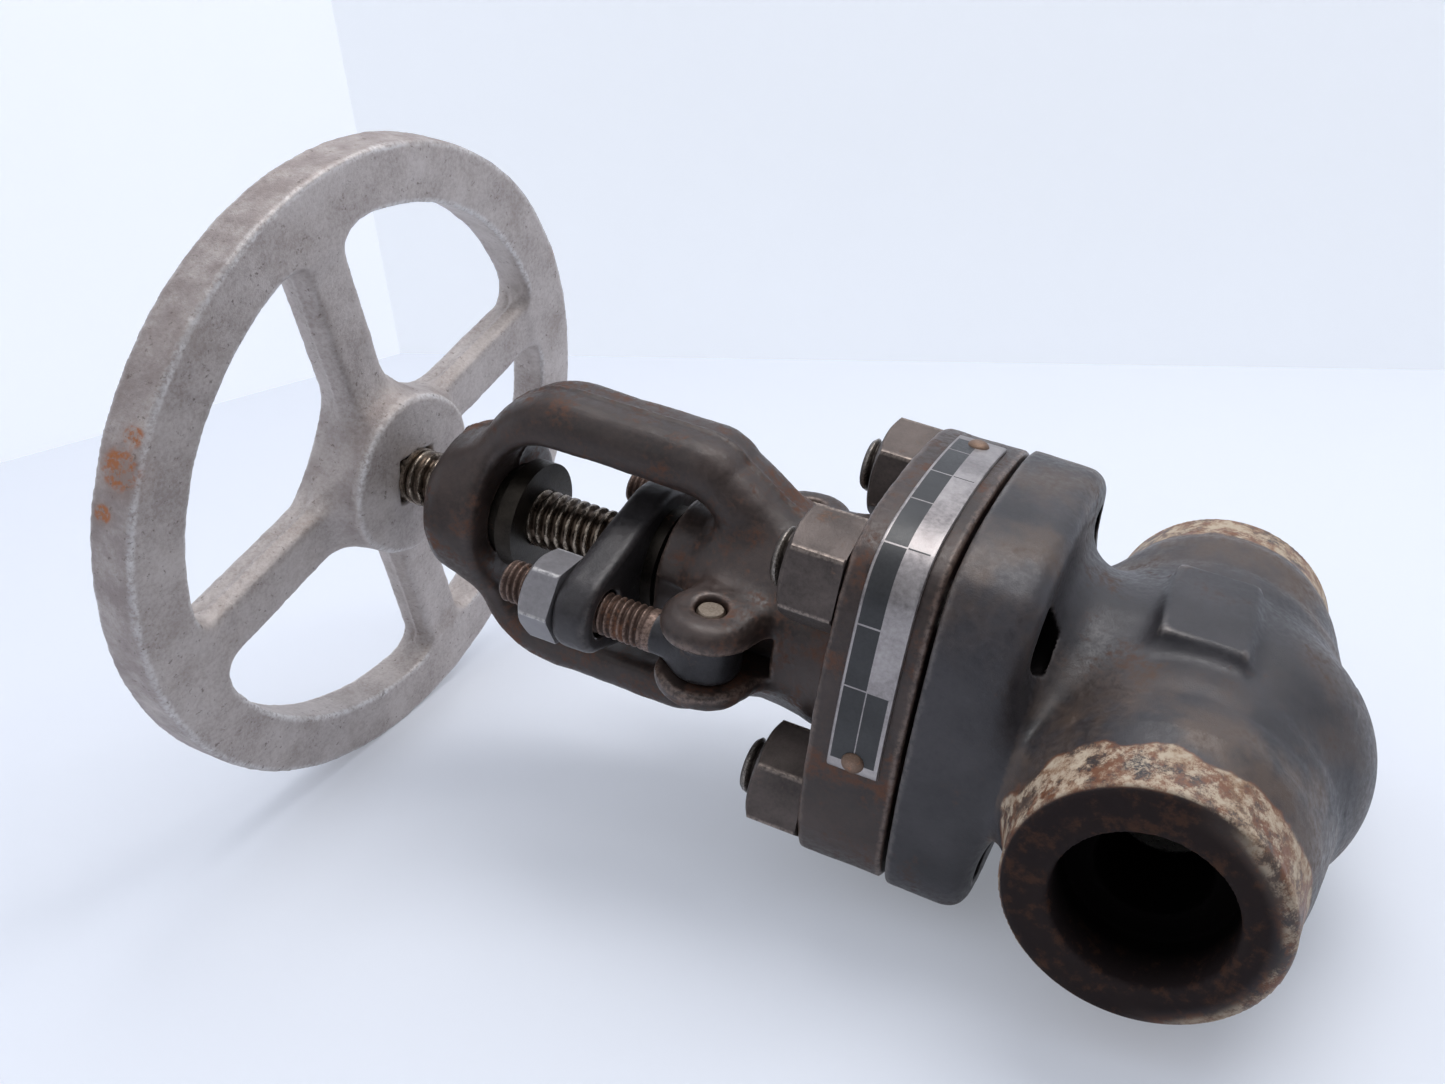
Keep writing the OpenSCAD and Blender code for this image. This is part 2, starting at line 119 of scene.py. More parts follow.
def flash(shape, across, height, width=0.35):
    """A forging or casting line: a low ridge round the shape where across is zero."""
    return join(shape, np.maximum(np.abs(across) - width, shape - height), 0.6)


def meet(a, b, k=0.0):
    """Intersection with an edge rounded by about k."""
    return -join(-a, -b, k)


def cut(a, b, k=0.0):
    """a without b, with an edge rounded by about k."""
    return meet(a, -b, k)


def round_box(x, y, z, half, r):
    """Box centred on the origin with edges of radius r."""
    qx, qy, qz = np.abs(x) - half[0] + r, np.abs(y) - half[1] + r, np.abs(z) - half[2] + r
    outer = np.sqrt(np.maximum(qx, 0) ** 2 + np.maximum(qy, 0) ** 2 + np.maximum(qz, 0) ** 2)
    return outer + np.minimum(np.maximum(np.maximum(qx, qy), qz), 0) - r


def drum(rho, a, low, high, radius, r=0.0):
    """Cylinder given by the distance from its axis and the place along it, edges of radius r."""
    qa = np.abs(a - (low + high) / 2) - (high - low) / 2 + r
    qr = rho - radius + r
    outside = np.sqrt(np.maximum(qa, 0) ** 2 + np.maximum(qr, 0) ** 2)
    return outside + np.minimum(np.maximum(qa, qr), 0) - r


def outline_distance(u, v, points):
    """Signed distance in a plane from a closed outline, negative inside."""
    u, v = np.broadcast_arrays(u, v)
    best = np.full(u.shape, 1e9, np.float32)
    inside = np.zeros(u.shape, bool)
    for (ax, ay), (bx, by) in zip(points, points[1:] + points[:1]):
        ex, ey = bx - ax, by - ay
        wx, wy = u - ax, v - ay
        t = np.clip((wx * ex + wy * ey) / (ex * ex + ey * ey + 1e-12), 0, 1)
        best = np.minimum(best, (wx - t * ex) ** 2 + (wy - t * ey) ** 2)
        crosses = (ay > v) != (by > v)
        inside ^= crosses & (u < ex * (v - ay) / (ey if ey else 1e-12) + ax)
    return np.where(inside, -np.sqrt(best), np.sqrt(best)).astype(np.float32)


def arc(cx, cy, r, start, end, steps=8):
    """Points of an arc, with its angles in degrees."""
    angles = [math.radians(start + (end - start) * i / steps) for i in range(steps + 1)]
    return [(cx + r * math.cos(a), cy + r * math.sin(a)) for a in angles]


def net_points(field, cells, corners):
    """Mean of the points where the surface crosses each cell's edges, in cells."""
    total = np.zeros((len(cells), 3))
    hits = np.zeros(len(cells))
    for a in corners:
        for axis in range(3):
            if a[axis]:
                continue
            b = list(a)
            b[axis] = 1
            fa = field[tuple((cells + a).T)]
            fb = field[tuple((cells + b).T)]
            crossed = (fa < 0) != (fb < 0)
            t = fa[crossed] / (fa[crossed] - fb[crossed])
            place = cells[crossed] + np.array(a, float)
            place[:, axis] += t
            total[crossed] += place
            hits += crossed
    return total / hits[:, None]


def net_quads(inside, index):
    """Quads that join the four cells round each grid edge that the surface crosses."""
    quads = []
    for axis in range(3):
        u, v = (axis + 1) % 3, (axis + 2) % 3
        near = [slice(None)] * 3
        far = [slice(None)] * 3
        near[axis], far[axis] = slice(0, -1), slice(1, None)
        change = inside[tuple(near)] != inside[tuple(far)]
        for other in (u, v):
            edge = [slice(None)] * 3
            edge[other] = [0, -1]
            change[tuple(edge)] = False
        at = np.argwhere(change)
        ring = []
        for du, dv in ((-1, -1), (0, -1), (0, 0), (-1, 0)):
            cell = at.copy()
            cell[:, u] += du
            cell[:, v] += dv
            ring.append(index[tuple(cell.T)])
        ring = np.stack(ring, 1)
        leaving = inside[tuple(at.T)]
        ring[~leaving] = ring[~leaving][:, ::-1]
        quads.append(ring)
    return np.concatenate(quads)


def surface_net(field, low, step):
    """Vertices and quads of the surface where a field on a grid is zero."""
    inside = field < 0
    nx, ny, nz = (n - 1 for n in field.shape)
    corners = [(i, j, k) for i in (0, 1) for j in (0, 1) for k in (0, 1)]
    count = sum(inside[i:nx + i, j:ny + j, k:nz + k].astype(np.int8) for i, j, k in corners)
    active = (count > 0) & (count < 8)
    cells = np.argwhere(active)
    index = np.full(active.shape, -1, np.int32)
    index[active] = np.arange(len(cells))
    points = net_points(field, cells, corners) * step + np.array(low)
    return points, net_quads(inside, index)


# ---- meshes

def to_mesh(name, points, faces, materials, body, sharp=None):
    """Makes an object from points in millimetres, and lets it ride on a body."""
    mesh = bpy.data.meshes.new(name)
    mesh.from_pydata((np.asarray(points) * MM).tolist(), [], [list(f) for f in faces])
    mesh.validate()
    mesh.update()
    mesh.shade_smooth()
    if sharp:
        mesh.set_sharp_from_angle(angle=math.radians(sharp))
    piece = add_object(name, mesh)
    for material in materials:
        mesh.materials.append(material)
    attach(piece, body)
    return piece


def mesh_points(piece):
    """Positions of a piece's vertices, in millimetres."""
    points = np.empty(len(piece.data.vertices) * 3)
    piece.data.vertices.foreach_get("co", points)
    return points.reshape(-1, 3) / MM


def edge_array(faces):
    pairs = np.concatenate([np.stack([faces[:, i], faces[:, (i + 1) % 4]], 1) for i in range(4)])
    return np.unique(np.sort(pairs, 1), axis=0)


def neighbour_mean(values, edges):
    """Mean of each vertex's neighbours."""
    n = len(values)
    total = np.zeros_like(values)
    for k in range(values.shape[1]):
        total[:, k] = np.bincount(edges[:, 0], values[edges[:, 1], k], n)
        total[:, k] += np.bincount(edges[:, 1], values[edges[:, 0], k], n)
    count = np.bincount(edges.ravel(), minlength=n)[:, None]
    return total / np.maximum(count, 1)


def vertex_normals(points, faces):
    a, b = points[faces[:, 2]] - points[faces[:, 0]], points[faces[:, 3]] - points[faces[:, 1]]
    face = np.cross(a, b)
    normals = np.zeros_like(points)
    for i in range(4):
        for k in range(3):
            normals[:, k] += np.bincount(faces[:, i], face[:, k], len(points))
    return normals / np.maximum(np.linalg.norm(normals, axis=1, keepdims=True), 1e-9)


def rough_noise(points, size, octaves=3, seed=0.0):
    """Fractal noise at each point, for bumps about size millimetres wide."""
    shift = Vector((seed, seed * 0.7, seed * 1.3))
    return np.array([noise.fractal(Vector(p) / size + shift, 0.9, 2.1, octaves) for p in points])


def store(piece, name, values):
    attribute = piece.data.attributes.new(name, "FLOAT", "POINT")
    attribute.data.foreach_set("value", np.clip(values, 0, 1).astype(np.float32))


def forged_piece(name, low, high, step, shape, material, body, dents, rough, size, keep=None):
    """A piece whose surface is the zero of shape(x, y, z), with dents and worn edges.

    dents and rough are depths in millimetres of noise about size wide, and keep(points) is 0
    where the surface is machined and stays as it is. The attribute wear is high on convex
    edges, and a second attribute is high in hollows, where it marks both dirt and painted shade.
    """
    x, y, z = grid(low, high, step)
    field = np.broadcast_to(shape(x, y, z), (x.shape[0], y.shape[1], z.shape[2]))
    start = (x.ravel()[0], y.ravel()[0], z.ravel()[0])
    points, faces = surface_net(np.ascontiguousarray(field), start, step)
    edges = edge_array(faces)
    normals = vertex_normals(points, faces)
    bend = points.copy()
    for _ in range(3):
        bend = neighbour_mean(bend, edges)
    bend = ((points - bend) * normals).sum(1) / step
    bend = neighbour_mean(neighbour_mean(bend[:, None], edges), edges)[:, 0]
    amount = dents * rough_noise(points, size * 4, 2, 3.0)
    amount += rough * rough_noise(points, size, 3, 9.0)
    if keep:
        amount *= keep(points)
    points = points + normals * amount[:, None]
    piece = to_mesh(name, points, faces, [material], body)
    store(piece, "wear", bend * EDGE_GAIN)
    # hollows: partly dirt, partly painted shade where light is shut out
    store(piece, "dirt_and_shade", -bend * EDGE_GAIN)
    return piece


def ring_grid(rows, radius, segments, start):
    """Angles, heights and radii of the points on a solid's rings."""
    a, h = np.meshgrid(start + np.arange(segments) * TURN / segments, np.asarray(rows, float))
    return a, h, np.broadcast_to(radius(a, h), a.shape)


def close_end(points, wear, faces, edge, level, height, first):
    """Closes one end of a turned solid with two inner rings and a middle point."""
    segments = len(edge)
    inner = len(points)
    ring = points[edge].copy()
    middle = ring[:, :2].mean(0)
    for share in CAP_SHARES:
        step = ring.copy()
        step[:, :2] = middle + (ring[:, :2] - middle) * share
        step[:, 2] = level + (height - level) * (1 - share ** 2)
        points = np.concatenate([points, step])
    points = np.concatenate([points, [[middle[0], middle[1], height]]])
    wear = np.concatenate([wear, np.full(2 * segments + 1, CAP_WEAR)])
    loops = [edge, inner + np.arange(segments), inner + segments + np.arange(segments)]
    for outer, within in zip(loops, loops[1:]):
        quad = np.stack([outer, np.roll(outer, -1), np.roll(within, -1), within], -1)
        faces += (quad[:, ::-1] if first else quad).tolist()
    last = len(points) - 1
    for i in range(segments):
        tri = [loops[2][i], loops[2][(i + 1) % segments], last]
        faces.append(tri[::-1] if first else tri)
    return points, wear


def turned_solid(name, rows, radius, centre, materials, body, segments=96, groove=None, sharp=35,
                 top=0.0, bottom=0.0, axis="z", start=0.0):
    """Closed solid whose radius at each height and angle is radius(angle, height).

    rows are the heights of its rings. groove(radius) gives the attribute wear, and top and
    bottom say how far the middle of each end stands out.
    """
    a, h, r = ring_grid(rows, radius, segments, start)
    points = np.stack([r * np.cos(a), r * np.sin(a), h], -1).reshape(-1, 3)
    ids = np.arange(len(rows) * segments).reshape(len(rows), segments)
    across = np.roll(ids, -1, 1)
    faces = np.stack([ids[:-1], across[:-1], across[1:], ids[1:]], -1).reshape(-1, 4).tolist()
    wear = (groove(r) if groove else np.full(r.shape, 0.5)).ravel()
    points, wear = close_end(points, wear, faces, ids[0], rows[0], rows[0] - bottom, True)
    points, wear = close_end(points, wear, faces, ids[-1], rows[-1], rows[-1] + top, False)
    if axis == "y":
        points = points[:, [1, 2, 0]]
    piece = to_mesh(name, points + np.asarray(centre, float), faces, materials, body, sharp)
    store(piece, "wear", wear)
    return piece


def ring_solid(name, rows, outer, inner, centre, materials, body, segments=96, sharp=30, start=0.0):
    """Closed ring about Z with an outside radius outer(angle, height) and a bore of radius inner."""
    a, h, r = ring_grid(rows, outer, segments, start)
    skin = np.stack([r * np.cos(a), r * np.sin(a), h], -1)
    hole = np.stack([inner * np.cos(a), inner * np.sin(a), h[::-1]], -1)
    loop = np.concatenate([skin, hole])
    n = len(loop)
    ids = np.arange(n * segments).reshape(n, segments)
    across = np.roll(ids, -1, 1)
    up, up_across = np.roll(ids, -1, 0), np.roll(across, -1, 0)
    faces = np.stack([ids, across, up_across, up], -1).reshape(-1, 4)
    return to_mesh(name, loop.reshape(-1, 3) + np.asarray(centre, float), faces, materials, body, sharp)


# ---- materials

class Nodes:
    """Short calls for building a node tree."""

    def __init__(self, name):
        self.material = bpy.data.materials.new(name)
        self.material.use_nodes = True
        self.tree = self.material.node_tree
        self.tree.nodes.clear()
        self.place = self.add("ShaderNodeTexCoord").outputs["Object"]

    def add(self, kind, **fields):
        node = self.tree.nodes.new(kind)
        for key, value in fields.items():
            setattr(node, key, value)
        return node

    def set(self, socket, value):
        if isinstance(value, bpy.types.NodeSocket):
            self.tree.links.new(value, socket)
        else:
            socket.default_value = value

    def fill(self, kind, values, **fields):
        """Adds a node and sets its inputs."""
        node = self.add(kind, **fields)
        for key, value in values.items():
            self.set(node.inputs[key], value)
        return node

    def noise(self, size, detail=6, rough=0.6):
        """Noise from 0 to 1 with features about size millimetres wide."""
        values = {"Vector": self.place, "Scale": 1 / (size * MM), "Detail": detail, "Roughness": rough}
        return self.fill("ShaderNodeTexNoise", values).outputs["Fac"]

    def step(self, value, low, high, out_low=0.0, out_high=1.0):
        """Smooth step of a value."""
        values = {"Value": value, "From Min": low, "From Max": high, "To Min": out_low, "To Max": out_high}
        node = self.fill("ShaderNodeMapRange", values, interpolation_type="SMOOTHSTEP")
        return node.outputs["Result"]

    def math(self, kind, a, b):
        return self.fill("ShaderNodeMath", {0: a, 1: b}, operation=kind, use_clamp=True).outputs[0]

    def times(self, a, b):
        return self.math("MULTIPLY", a, b)

    def blend(self, a, share, b, other):
        """Sum of two values, each times its share."""
        return self.math("ADD", self.times(a, share), self.times(b, other))

    def ramp(self, value, stops):
        node = self.add("ShaderNodeValToRGB")
        self.set(node.inputs["Fac"], value)
        elements = node.color_ramp.elements
        while len(elements) < len(stops):
            elements.new(0.5)
        for element, (at, colour) in zip(elements, stops):
            element.position = at
            element.color = (*colour, 1)
        return node.outputs["Color"]

    def mix(self, share, a, b):
        node = self.add("ShaderNodeMix", data_type="RGBA", clamp_factor=True)
        self.set(node.inputs["Factor"], share)
        for socket, value in ((node.inputs[6], a), (node.inputs[7], b)):
            self.set(socket, value if isinstance(value, bpy.types.NodeSocket) else (*value, 1))
        return node.outputs[2]

    def mix_number(self, share, a, b):
        values = {0: share, 2: a, 3: b}
        return self.fill("ShaderNodeMix", values, data_type="FLOAT", clamp_factor=True).outputs[0]

    def attribute(self, name):
        return self.add("ShaderNodeAttribute", attribute_name=name).outputs["Fac"]

    def finish(self, colour, metallic, roughness, height, bump=0.5, depth=0.2, specular=0.5):
        """Principled surface with a bump of depth millimetres."""
        bumps = self.fill("ShaderNodeBump", {"Strength": bump, "Distance": depth * MM, "Height": height})
        shader = self.fill("ShaderNodeBsdfPrincipled", {
            "Base Color": colour, "Metallic": metallic, "Roughness": roughness,
            "Specular IOR Level": specular, "Normal": bumps.outputs["Normal"],
        })
        self.fill("ShaderNodeOutputMaterial", {"Surface": shader.outputs["BSDF"]})
        return self.material


def metal(name, dark, light, wear, dirt_and_shade, rust=0.0, rust_colour=(0.2, 0.075, 0.03), shine=0.6,
          rough=(0.45, 0.7), size=6.0, bump=0.5, depth=0.15, extra=None, wear_range=(0.35, 0.95)):
    """Aged metal: two blended tones, rust patches, bright worn edges, and hollows darkened by dirt and
    painted shade.
    """
    n = Nodes(name)
    broad = n.noise(size * 3, 4)
    fine = n.noise(size / 5, 6, 0.65)
    grain = n.noise(0.35, 3)
    colour = n.ramp(n.blend(broad, 0.6, fine, 0.4), [(0.36, dark), (0.62, light)])
    patch = n.blend(n.noise(size * 2.3, 5, 0.7), 0.7, fine, 0.3)
    edge = 0.66 - 0.3 * rust
    rusty = n.step(patch, edge, edge + 0.14) if rust else 0.0
    tone = n.mix(grain, rust_colour, tuple(c * 1.9 for c in rust_colour))
    colour = n.mix(rusty, colour, tone)
    # Hollows are darkened towards the hollow colour: partly dirt, partly painted shade where light is shut
    # out.
    hollow = n.times(n.step(n.attribute("dirt_and_shade"), 0.1, 0.8), n.step(fine, 0.3, 0.6, 0.4, 1.0))
    colour = n.mix(hollow, colour, dirt_and_shade)
    worn = n.step(n.attribute("wear"), *wear_range)
    worn = n.times(worn, n.step(fine, 0.35, 0.62, 0.15, 1.0))
    colour = n.mix(worn, colour, wear)
    metallic = n.mix_number(n.math("MAXIMUM", rusty, hollow), shine, 0.0)
    roughness = n.mix_number(rusty, n.step(fine, 0.3, 0.7, *rough), 0.85)
    roughness = n.mix_number(worn, roughness, rough[0] * 0.85)
    if extra:
        colour, metallic, roughness = extra(n, colour, metallic, roughness, fine, grain)
    height = n.blend(fine, 0.6, grain, 0.4)
    specular = n.mix_number(n.attribute("soot_and_shade"), 0.5, 0.03)
    return n.finish(colour, metallic, roughness, height, bump, depth, specular)


CREAM = (0.44, 0.36, 0.27)
SOOT_AND_SHADE = (0.02, 0.0145, 0.0145)
BRIGHT_RUST = (0.17, 0.07, 0.035)


def port_finish(n, colour, metallic, roughness, fine, grain):
    """Old cream paint round the sockets, broken by rust, a sooty socket face, warm tones with painted
    light on the flange top, and painted shade in the bore and stud holes.
    """
    # Warm brown tone round the runs and belly, and painted light on the upward side of the flange.
    warm_tone_and_top_light = n.times(n.attribute("warm_tone_and_top_light"), n.step(n.noise(16, 5, 0.6), 0.36, 0.6))
    colour = n.mix(warm_tone_and_top_light, colour, n.mix(fine, (0.055, 0.037, 0.029), (0.115, 0.083, 0.066)))
    paint = n.attribute("paint")
    flaked = n.step(n.blend(n.noise(7, 6, 0.75), 0.75, grain, 0.2), 0.44, 0.55, 1.0, 0.0)
    stained = n.mix(n.step(n.noise(3.5, 6, 0.75), 0.38, 0.62), CREAM, (0.24, 0.14, 0.08))
    halo = n.times(n.step(paint, 0.02, 0.4), n.step(n.noise(9, 6, 0.75), 0.42, 0.56))
    colour = n.mix(halo, colour, BRIGHT_RUST)
    cover = n.times(n.step(paint, 0.25, 0.6), flaked)
    colour = n.mix(cover, colour, stained)
    # Soot darkens the socket faces; the bore and stud holes get the same dark colour as painted shade.
    soot_and_shade = n.attribute("soot_and_shade")
    soot_and_shade_tone = n.mix(n.step(n.noise(4, 5, 0.7), 0.5, 0.66), SOOT_AND_SHADE, (0.05, 0.026, 0.018))
    colour = n.mix(soot_and_shade, colour, soot_and_shade_tone)
    # Painted shade: the bore and stud holes turn near black.
    colour = n.mix(n.attribute("deep"), colour, (0.002, 0.0015, 0.0015))
    covered = n.math("MAXIMUM", cover, soot_and_shade)
    return colour, n.mix_number(covered, metallic, 0.0), n.mix_number(covered, roughness, 0.8)


def wheel_finish(n, colour, metallic, roughness, fine, grain):
    """Sooty pits and orange spots on cast metal."""
    speck = n.step(n.noise(0.9, 3, 0.7), 0.35, 0.65)
    colour = n.mix(n.times(speck, 0.22), colour, (0.62, 0.59, 0.58))
    stained = n.step(n.noise(14, 6, 0.72), 0.5, 0.72)
    colour = n.mix(n.times(stained, 0.4), colour, (0.24, 0.185, 0.155))
    side = n.times(n.attribute("side"), n.step(n.noise(8, 5, 0.7), 0.3, 0.65, 0.15, 0.75))
    colour = n.mix(side, colour, (0.22, 0.175, 0.165))
    pits = n.step(n.noise(1.6, 4, 0.7), 0.6, 0.7)
    colour = n.mix(n.times(pits, 0.7), colour, (0.12, 0.09, 0.075))
    spot = n.step(n.attribute("rust"), 0.35, 0.6)
    spot = n.times(spot, n.step(n.noise(2.5, 5, 0.7), 0.42, 0.56))
    colour = n.mix(spot, colour, (0.42, 0.13, 0.035))
    stain = n.times(n.attribute("rust"), 0.45)
    colour = n.mix(stain, colour, (0.28, 0.16, 0.1))
    return colour, n.mix_number(spot, metallic, 0.0), n.mix_number(spot, roughness, 0.85)


BODY = metal(
    "forged_body", (0.019, 0.0175, 0.0205), (0.05, 0.0455, 0.05), (0.12, 0.105, 0.1),
    (0.009, 0.007, 0.007), rust=0.4, rust_colour=(0.055, 0.03, 0.021), shine=0.2, rough=(0.34, 0.56),
    size=7, depth=0.16, extra=port_finish)
BONNET = metal(
    "forged_bonnet", (0.022, 0.015, 0.013), (0.059, 0.04, 0.034), (0.15, 0.105, 0.085),
    (0.008, 0.006, 0.006), rust=0.52, rust_colour=(0.07, 0.03, 0.017), shine=0.2, rough=(0.32, 0.54))
GLAND_FLANGE = metal(
    "gland_flange_steel", (0.018, 0.016, 0.017), (0.045, 0.04, 0.042), (0.13, 0.11, 0.1),
    (0.008, 0.006, 0.006), rust=0.25, rust_colour=(0.05, 0.028, 0.02), shine=0.3, rough=(0.3, 0.48),
    size=5)
STUD = metal(
    "stud_steel", (0.03, 0.024, 0.02), (0.1, 0.085, 0.075), (0.3, 0.27, 0.24), (0.012, 0.009, 0.008),
    rust=0.3, shine=0.8, rough=(0.35, 0.55), size=2.5)
NUT = metal(
    "nut_brown", (0.045, 0.036, 0.033), (0.12, 0.097, 0.088), (0.27, 0.22, 0.19), (0.02, 0.015, 0.012),
    rust=0.3, rust_colour=(0.12, 0.065, 0.04), shine=0.65, rough=(0.4, 0.6), size=4)
# The eyebolt's eye and shank are painted far darker than its thread: painted shade in the gap of the
# yoke's ear.
SHADED_EYE = metal(
    "eye_steel_in_painted_shade", (0.014, 0.013, 0.014), (0.036, 0.034, 0.037), (0.15, 0.14, 0.14), (0.01, 0.009, 0.009),
    rust=0.3, rust_colour=(0.06, 0.035, 0.025), shine=0.5, rough=(0.35, 0.5), size=3)
EYEBOLT = metal(
    "rusty_bolt", (0.035, 0.02, 0.015), (0.09, 0.055, 0.042), (0.22, 0.15, 0.12), (0.012, 0.007, 0.005),
    rust=0.5, rust_colour=(0.13, 0.055, 0.028), size=3)
PIN = metal(
    "pin_steel", (0.16, 0.12, 0.09), (0.36, 0.29, 0.23), (0.55, 0.47, 0.38), (0.04, 0.028, 0.02),
    rust=0.2, shine=0.85, rough=(0.3, 0.5), size=2)
GLAND_NUT = metal(
    "gland_nut_steel", (0.17, 0.16, 0.17), (0.27, 0.26, 0.27), (0.55, 0.53, 0.52), (0.03, 0.022, 0.018),
    rust=0.1, shine=0.5, rough=(0.34, 0.44), size=5, bump=0.25)
STEM = metal(
    "stem_steel", (0.035, 0.024, 0.017), (0.1, 0.072, 0.053), (0.31, 0.26, 0.21), (0.012, 0.008, 0.006),
    rust=0.22, rust_colour=(0.15, 0.07, 0.035), shine=0.9, rough=(0.25, 0.45), size=3)
# Dark oily metal of the gland and yoke bushing, painted darker still as painted shade inside the yoke
# head.
BUSHING_OILY_AND_SHADED = metal(
    "bushing_steel", (0.015, 0.0115, 0.009), (0.045, 0.037, 0.029), (0.2, 0.18, 0.15),
    (0.01, 0.008, 0.006), rust=0.2, shine=0.8, rough=(0.35, 0.55), size=3)
SEAT = metal(
    "seat_steel", (0.22, 0.21, 0.2), (0.4, 0.39, 0.37), (0.6, 0.58, 0.56), (0.05, 0.04, 0.035),
    shine=0.9, rough=(0.25, 0.42), size=4)
GASKET = metal(
    "gasket", (0.05, 0.05, 0.052), (0.11, 0.11, 0.11), (0.2, 0.2, 0.2), (0.02, 0.02, 0.02), shine=0.3,
    rough=(0.55, 0.75), size=2)
GRAPHITE = metal(
    "graphite", (0.018, 0.018, 0.019), (0.05, 0.05, 0.052), (0.12, 0.12, 0.12), (0.01, 0.01, 0.01),
    shine=0.2, rough=(0.5, 0.7), size=1.5)
WHEEL = metal(
    "cast_wheel", (0.34, 0.29, 0.27), (0.54, 0.485, 0.46), (0.74, 0.72, 0.71), (0.17, 0.125, 0.1),
    shine=0.4, rough=(0.42, 0.62), size=4.5, bump=0.8, depth=0.3, extra=wheel_finish,
    wear_range=(0.45, 1.0))
PLATE = metal(
    "nameplate", (0.2, 0.18, 0.18), (0.42, 0.39, 0.385), (0.5, 0.48, 0.47), (0.12, 0.1, 0.08), rust=0.2,
    rust_colour=(0.2, 0.12, 0.08), shine=0.8, rough=(0.3, 0.46), size=5, depth=0.05)
PLATE_INK = metal(
    "plate_ink", (0.012, 0.012, 0.013), (0.03, 0.03, 0.032), (0.1, 0.1, 0.1), (0.01, 0.01, 0.01),
    shine=0.0, rough=(0.3, 0.45), size=4, depth=0.04)
RIVET = metal(
    "rivet_brown", (0.1, 0.06, 0.04), (0.22, 0.14, 0.1), (0.34, 0.25, 0.19), (0.05, 0.03, 0.02),
    rust=0.35, size=1.5)


# ---- body and bonnet

FLANGE_HALF = (40.5, 44.0)
FLANGE_CORNER = 50.5
FLANGE_SIDE = 150.0
STUDS = [(x, y) for x in (-25.5, 25.5) for y in (-27.0, 27.0)]
JOINT_R = 25.3  # recess of the gasket, in both flanges
EYE_X = 27.5  # where the eyebolts hang on their pins
EYE_Z = 100.0


def flange(x, y, grow):
    """Distance from the outline shared by the two flanges."""
    rho = np.sqrt(x * x + y * y)
    side_x = np.hypot(np.abs(x) + FLANGE_SIDE - FLANGE_HALF[0], y) - FLANGE_SIDE - grow
    side_y = np.hypot(np.abs(y) + FLANGE_SIDE - FLANGE_HALF[1], x) - FLANGE_SIDE - grow
    return meet(meet(side_x, side_y, 2.0), rho - FLANGE_CORNER - grow, 5.0)


STUD_R = 6.35
STUD_HOLE_Z = 30.3  # the holes open into the fillet under the flange at this height
RUN_HALF = 57.5
RUN_X = (0, 24, 38, 45.5, 54.5, 56.1, RUN_HALF)  # distances along the run, and its radius there
RUN_R = (32.5, 31.5, 29.3, 27.4, 26.4, 26.4, 25.0)
BELLY_R = 33
NECK_R = 31
CHAMBER_R = 20.5
PORT_R = 11
SEAT_R = 15
SOCKET_R = 16.9
SOCKET_DEPTH = 13
BODY_TOP = 50.5
RIB_HALF = 3  # ribs in the chamber that guide the wedge


def body_shape(x, y, z):
    rho = np.sqrt(x * x + y * y)
    run = np.sqrt(y * y + z * z)
    along = np.abs(x)
    radius = np.interp(along, RUN_X, RUN_R)
    squash = 1 + 0.1 * np.clip((40 - along) / 12, 0, 1)
    narrow = y * squash
    flat_run = np.sqrt(narrow * narrow + z * z)
    shape = meet(flat_run - radius, along - RUN_HALF, 0.8)
    belly = np.sqrt(x * x + narrow * narrow + (z + 5.5) ** 2) - BELLY_R
    shape = join(shape, belly, 3.0)
    neck = meet(np.sqrt(x * x + narrow * narrow) - NECK_R, np.maximum(z - 40, -z))
    shape = join(shape, neck, 7.0)
    plate = meet(meet(flange(x, y, 0.7), 32.5 - z, 6.0), z - BODY_TOP, 1.2)
    shape = join(shape, plate, 12.0)
    pad = round_box(x, y + 25, z - 3.75, (15, 7, 8.75), 1.2)
    shape = join(shape, pad, 4.5)
    chamber = meet(rho - CHAMBER_R, -20 - z)
    ribs = np.maximum(np.maximum(np.abs(x) - RIB_HALF, 14.8 - np.abs(y)), z - 26)
    shape = cut(shape, np.maximum(chamber, -ribs))
    shape = cut(shape, run - PORT_R)
    shape = cut(shape, np.maximum(run - SEAT_R, np.maximum(9 - along, along - 25)))
    shape = cut(shape, np.maximum(run - SOCKET_R, RUN_HALF - SOCKET_DEPTH - along), 0.5)
    shape = cut(shape, np.maximum(rho - JOINT_R, 49.5 - z))
    for sx, sy in STUDS:
        hole = np.sqrt((x - sx) ** 2 + (y - sy) ** 2) - STUD_R
        shape = cut(shape, np.maximum(hole, STUD_HOLE_Z - z), 0.6)
    return shape


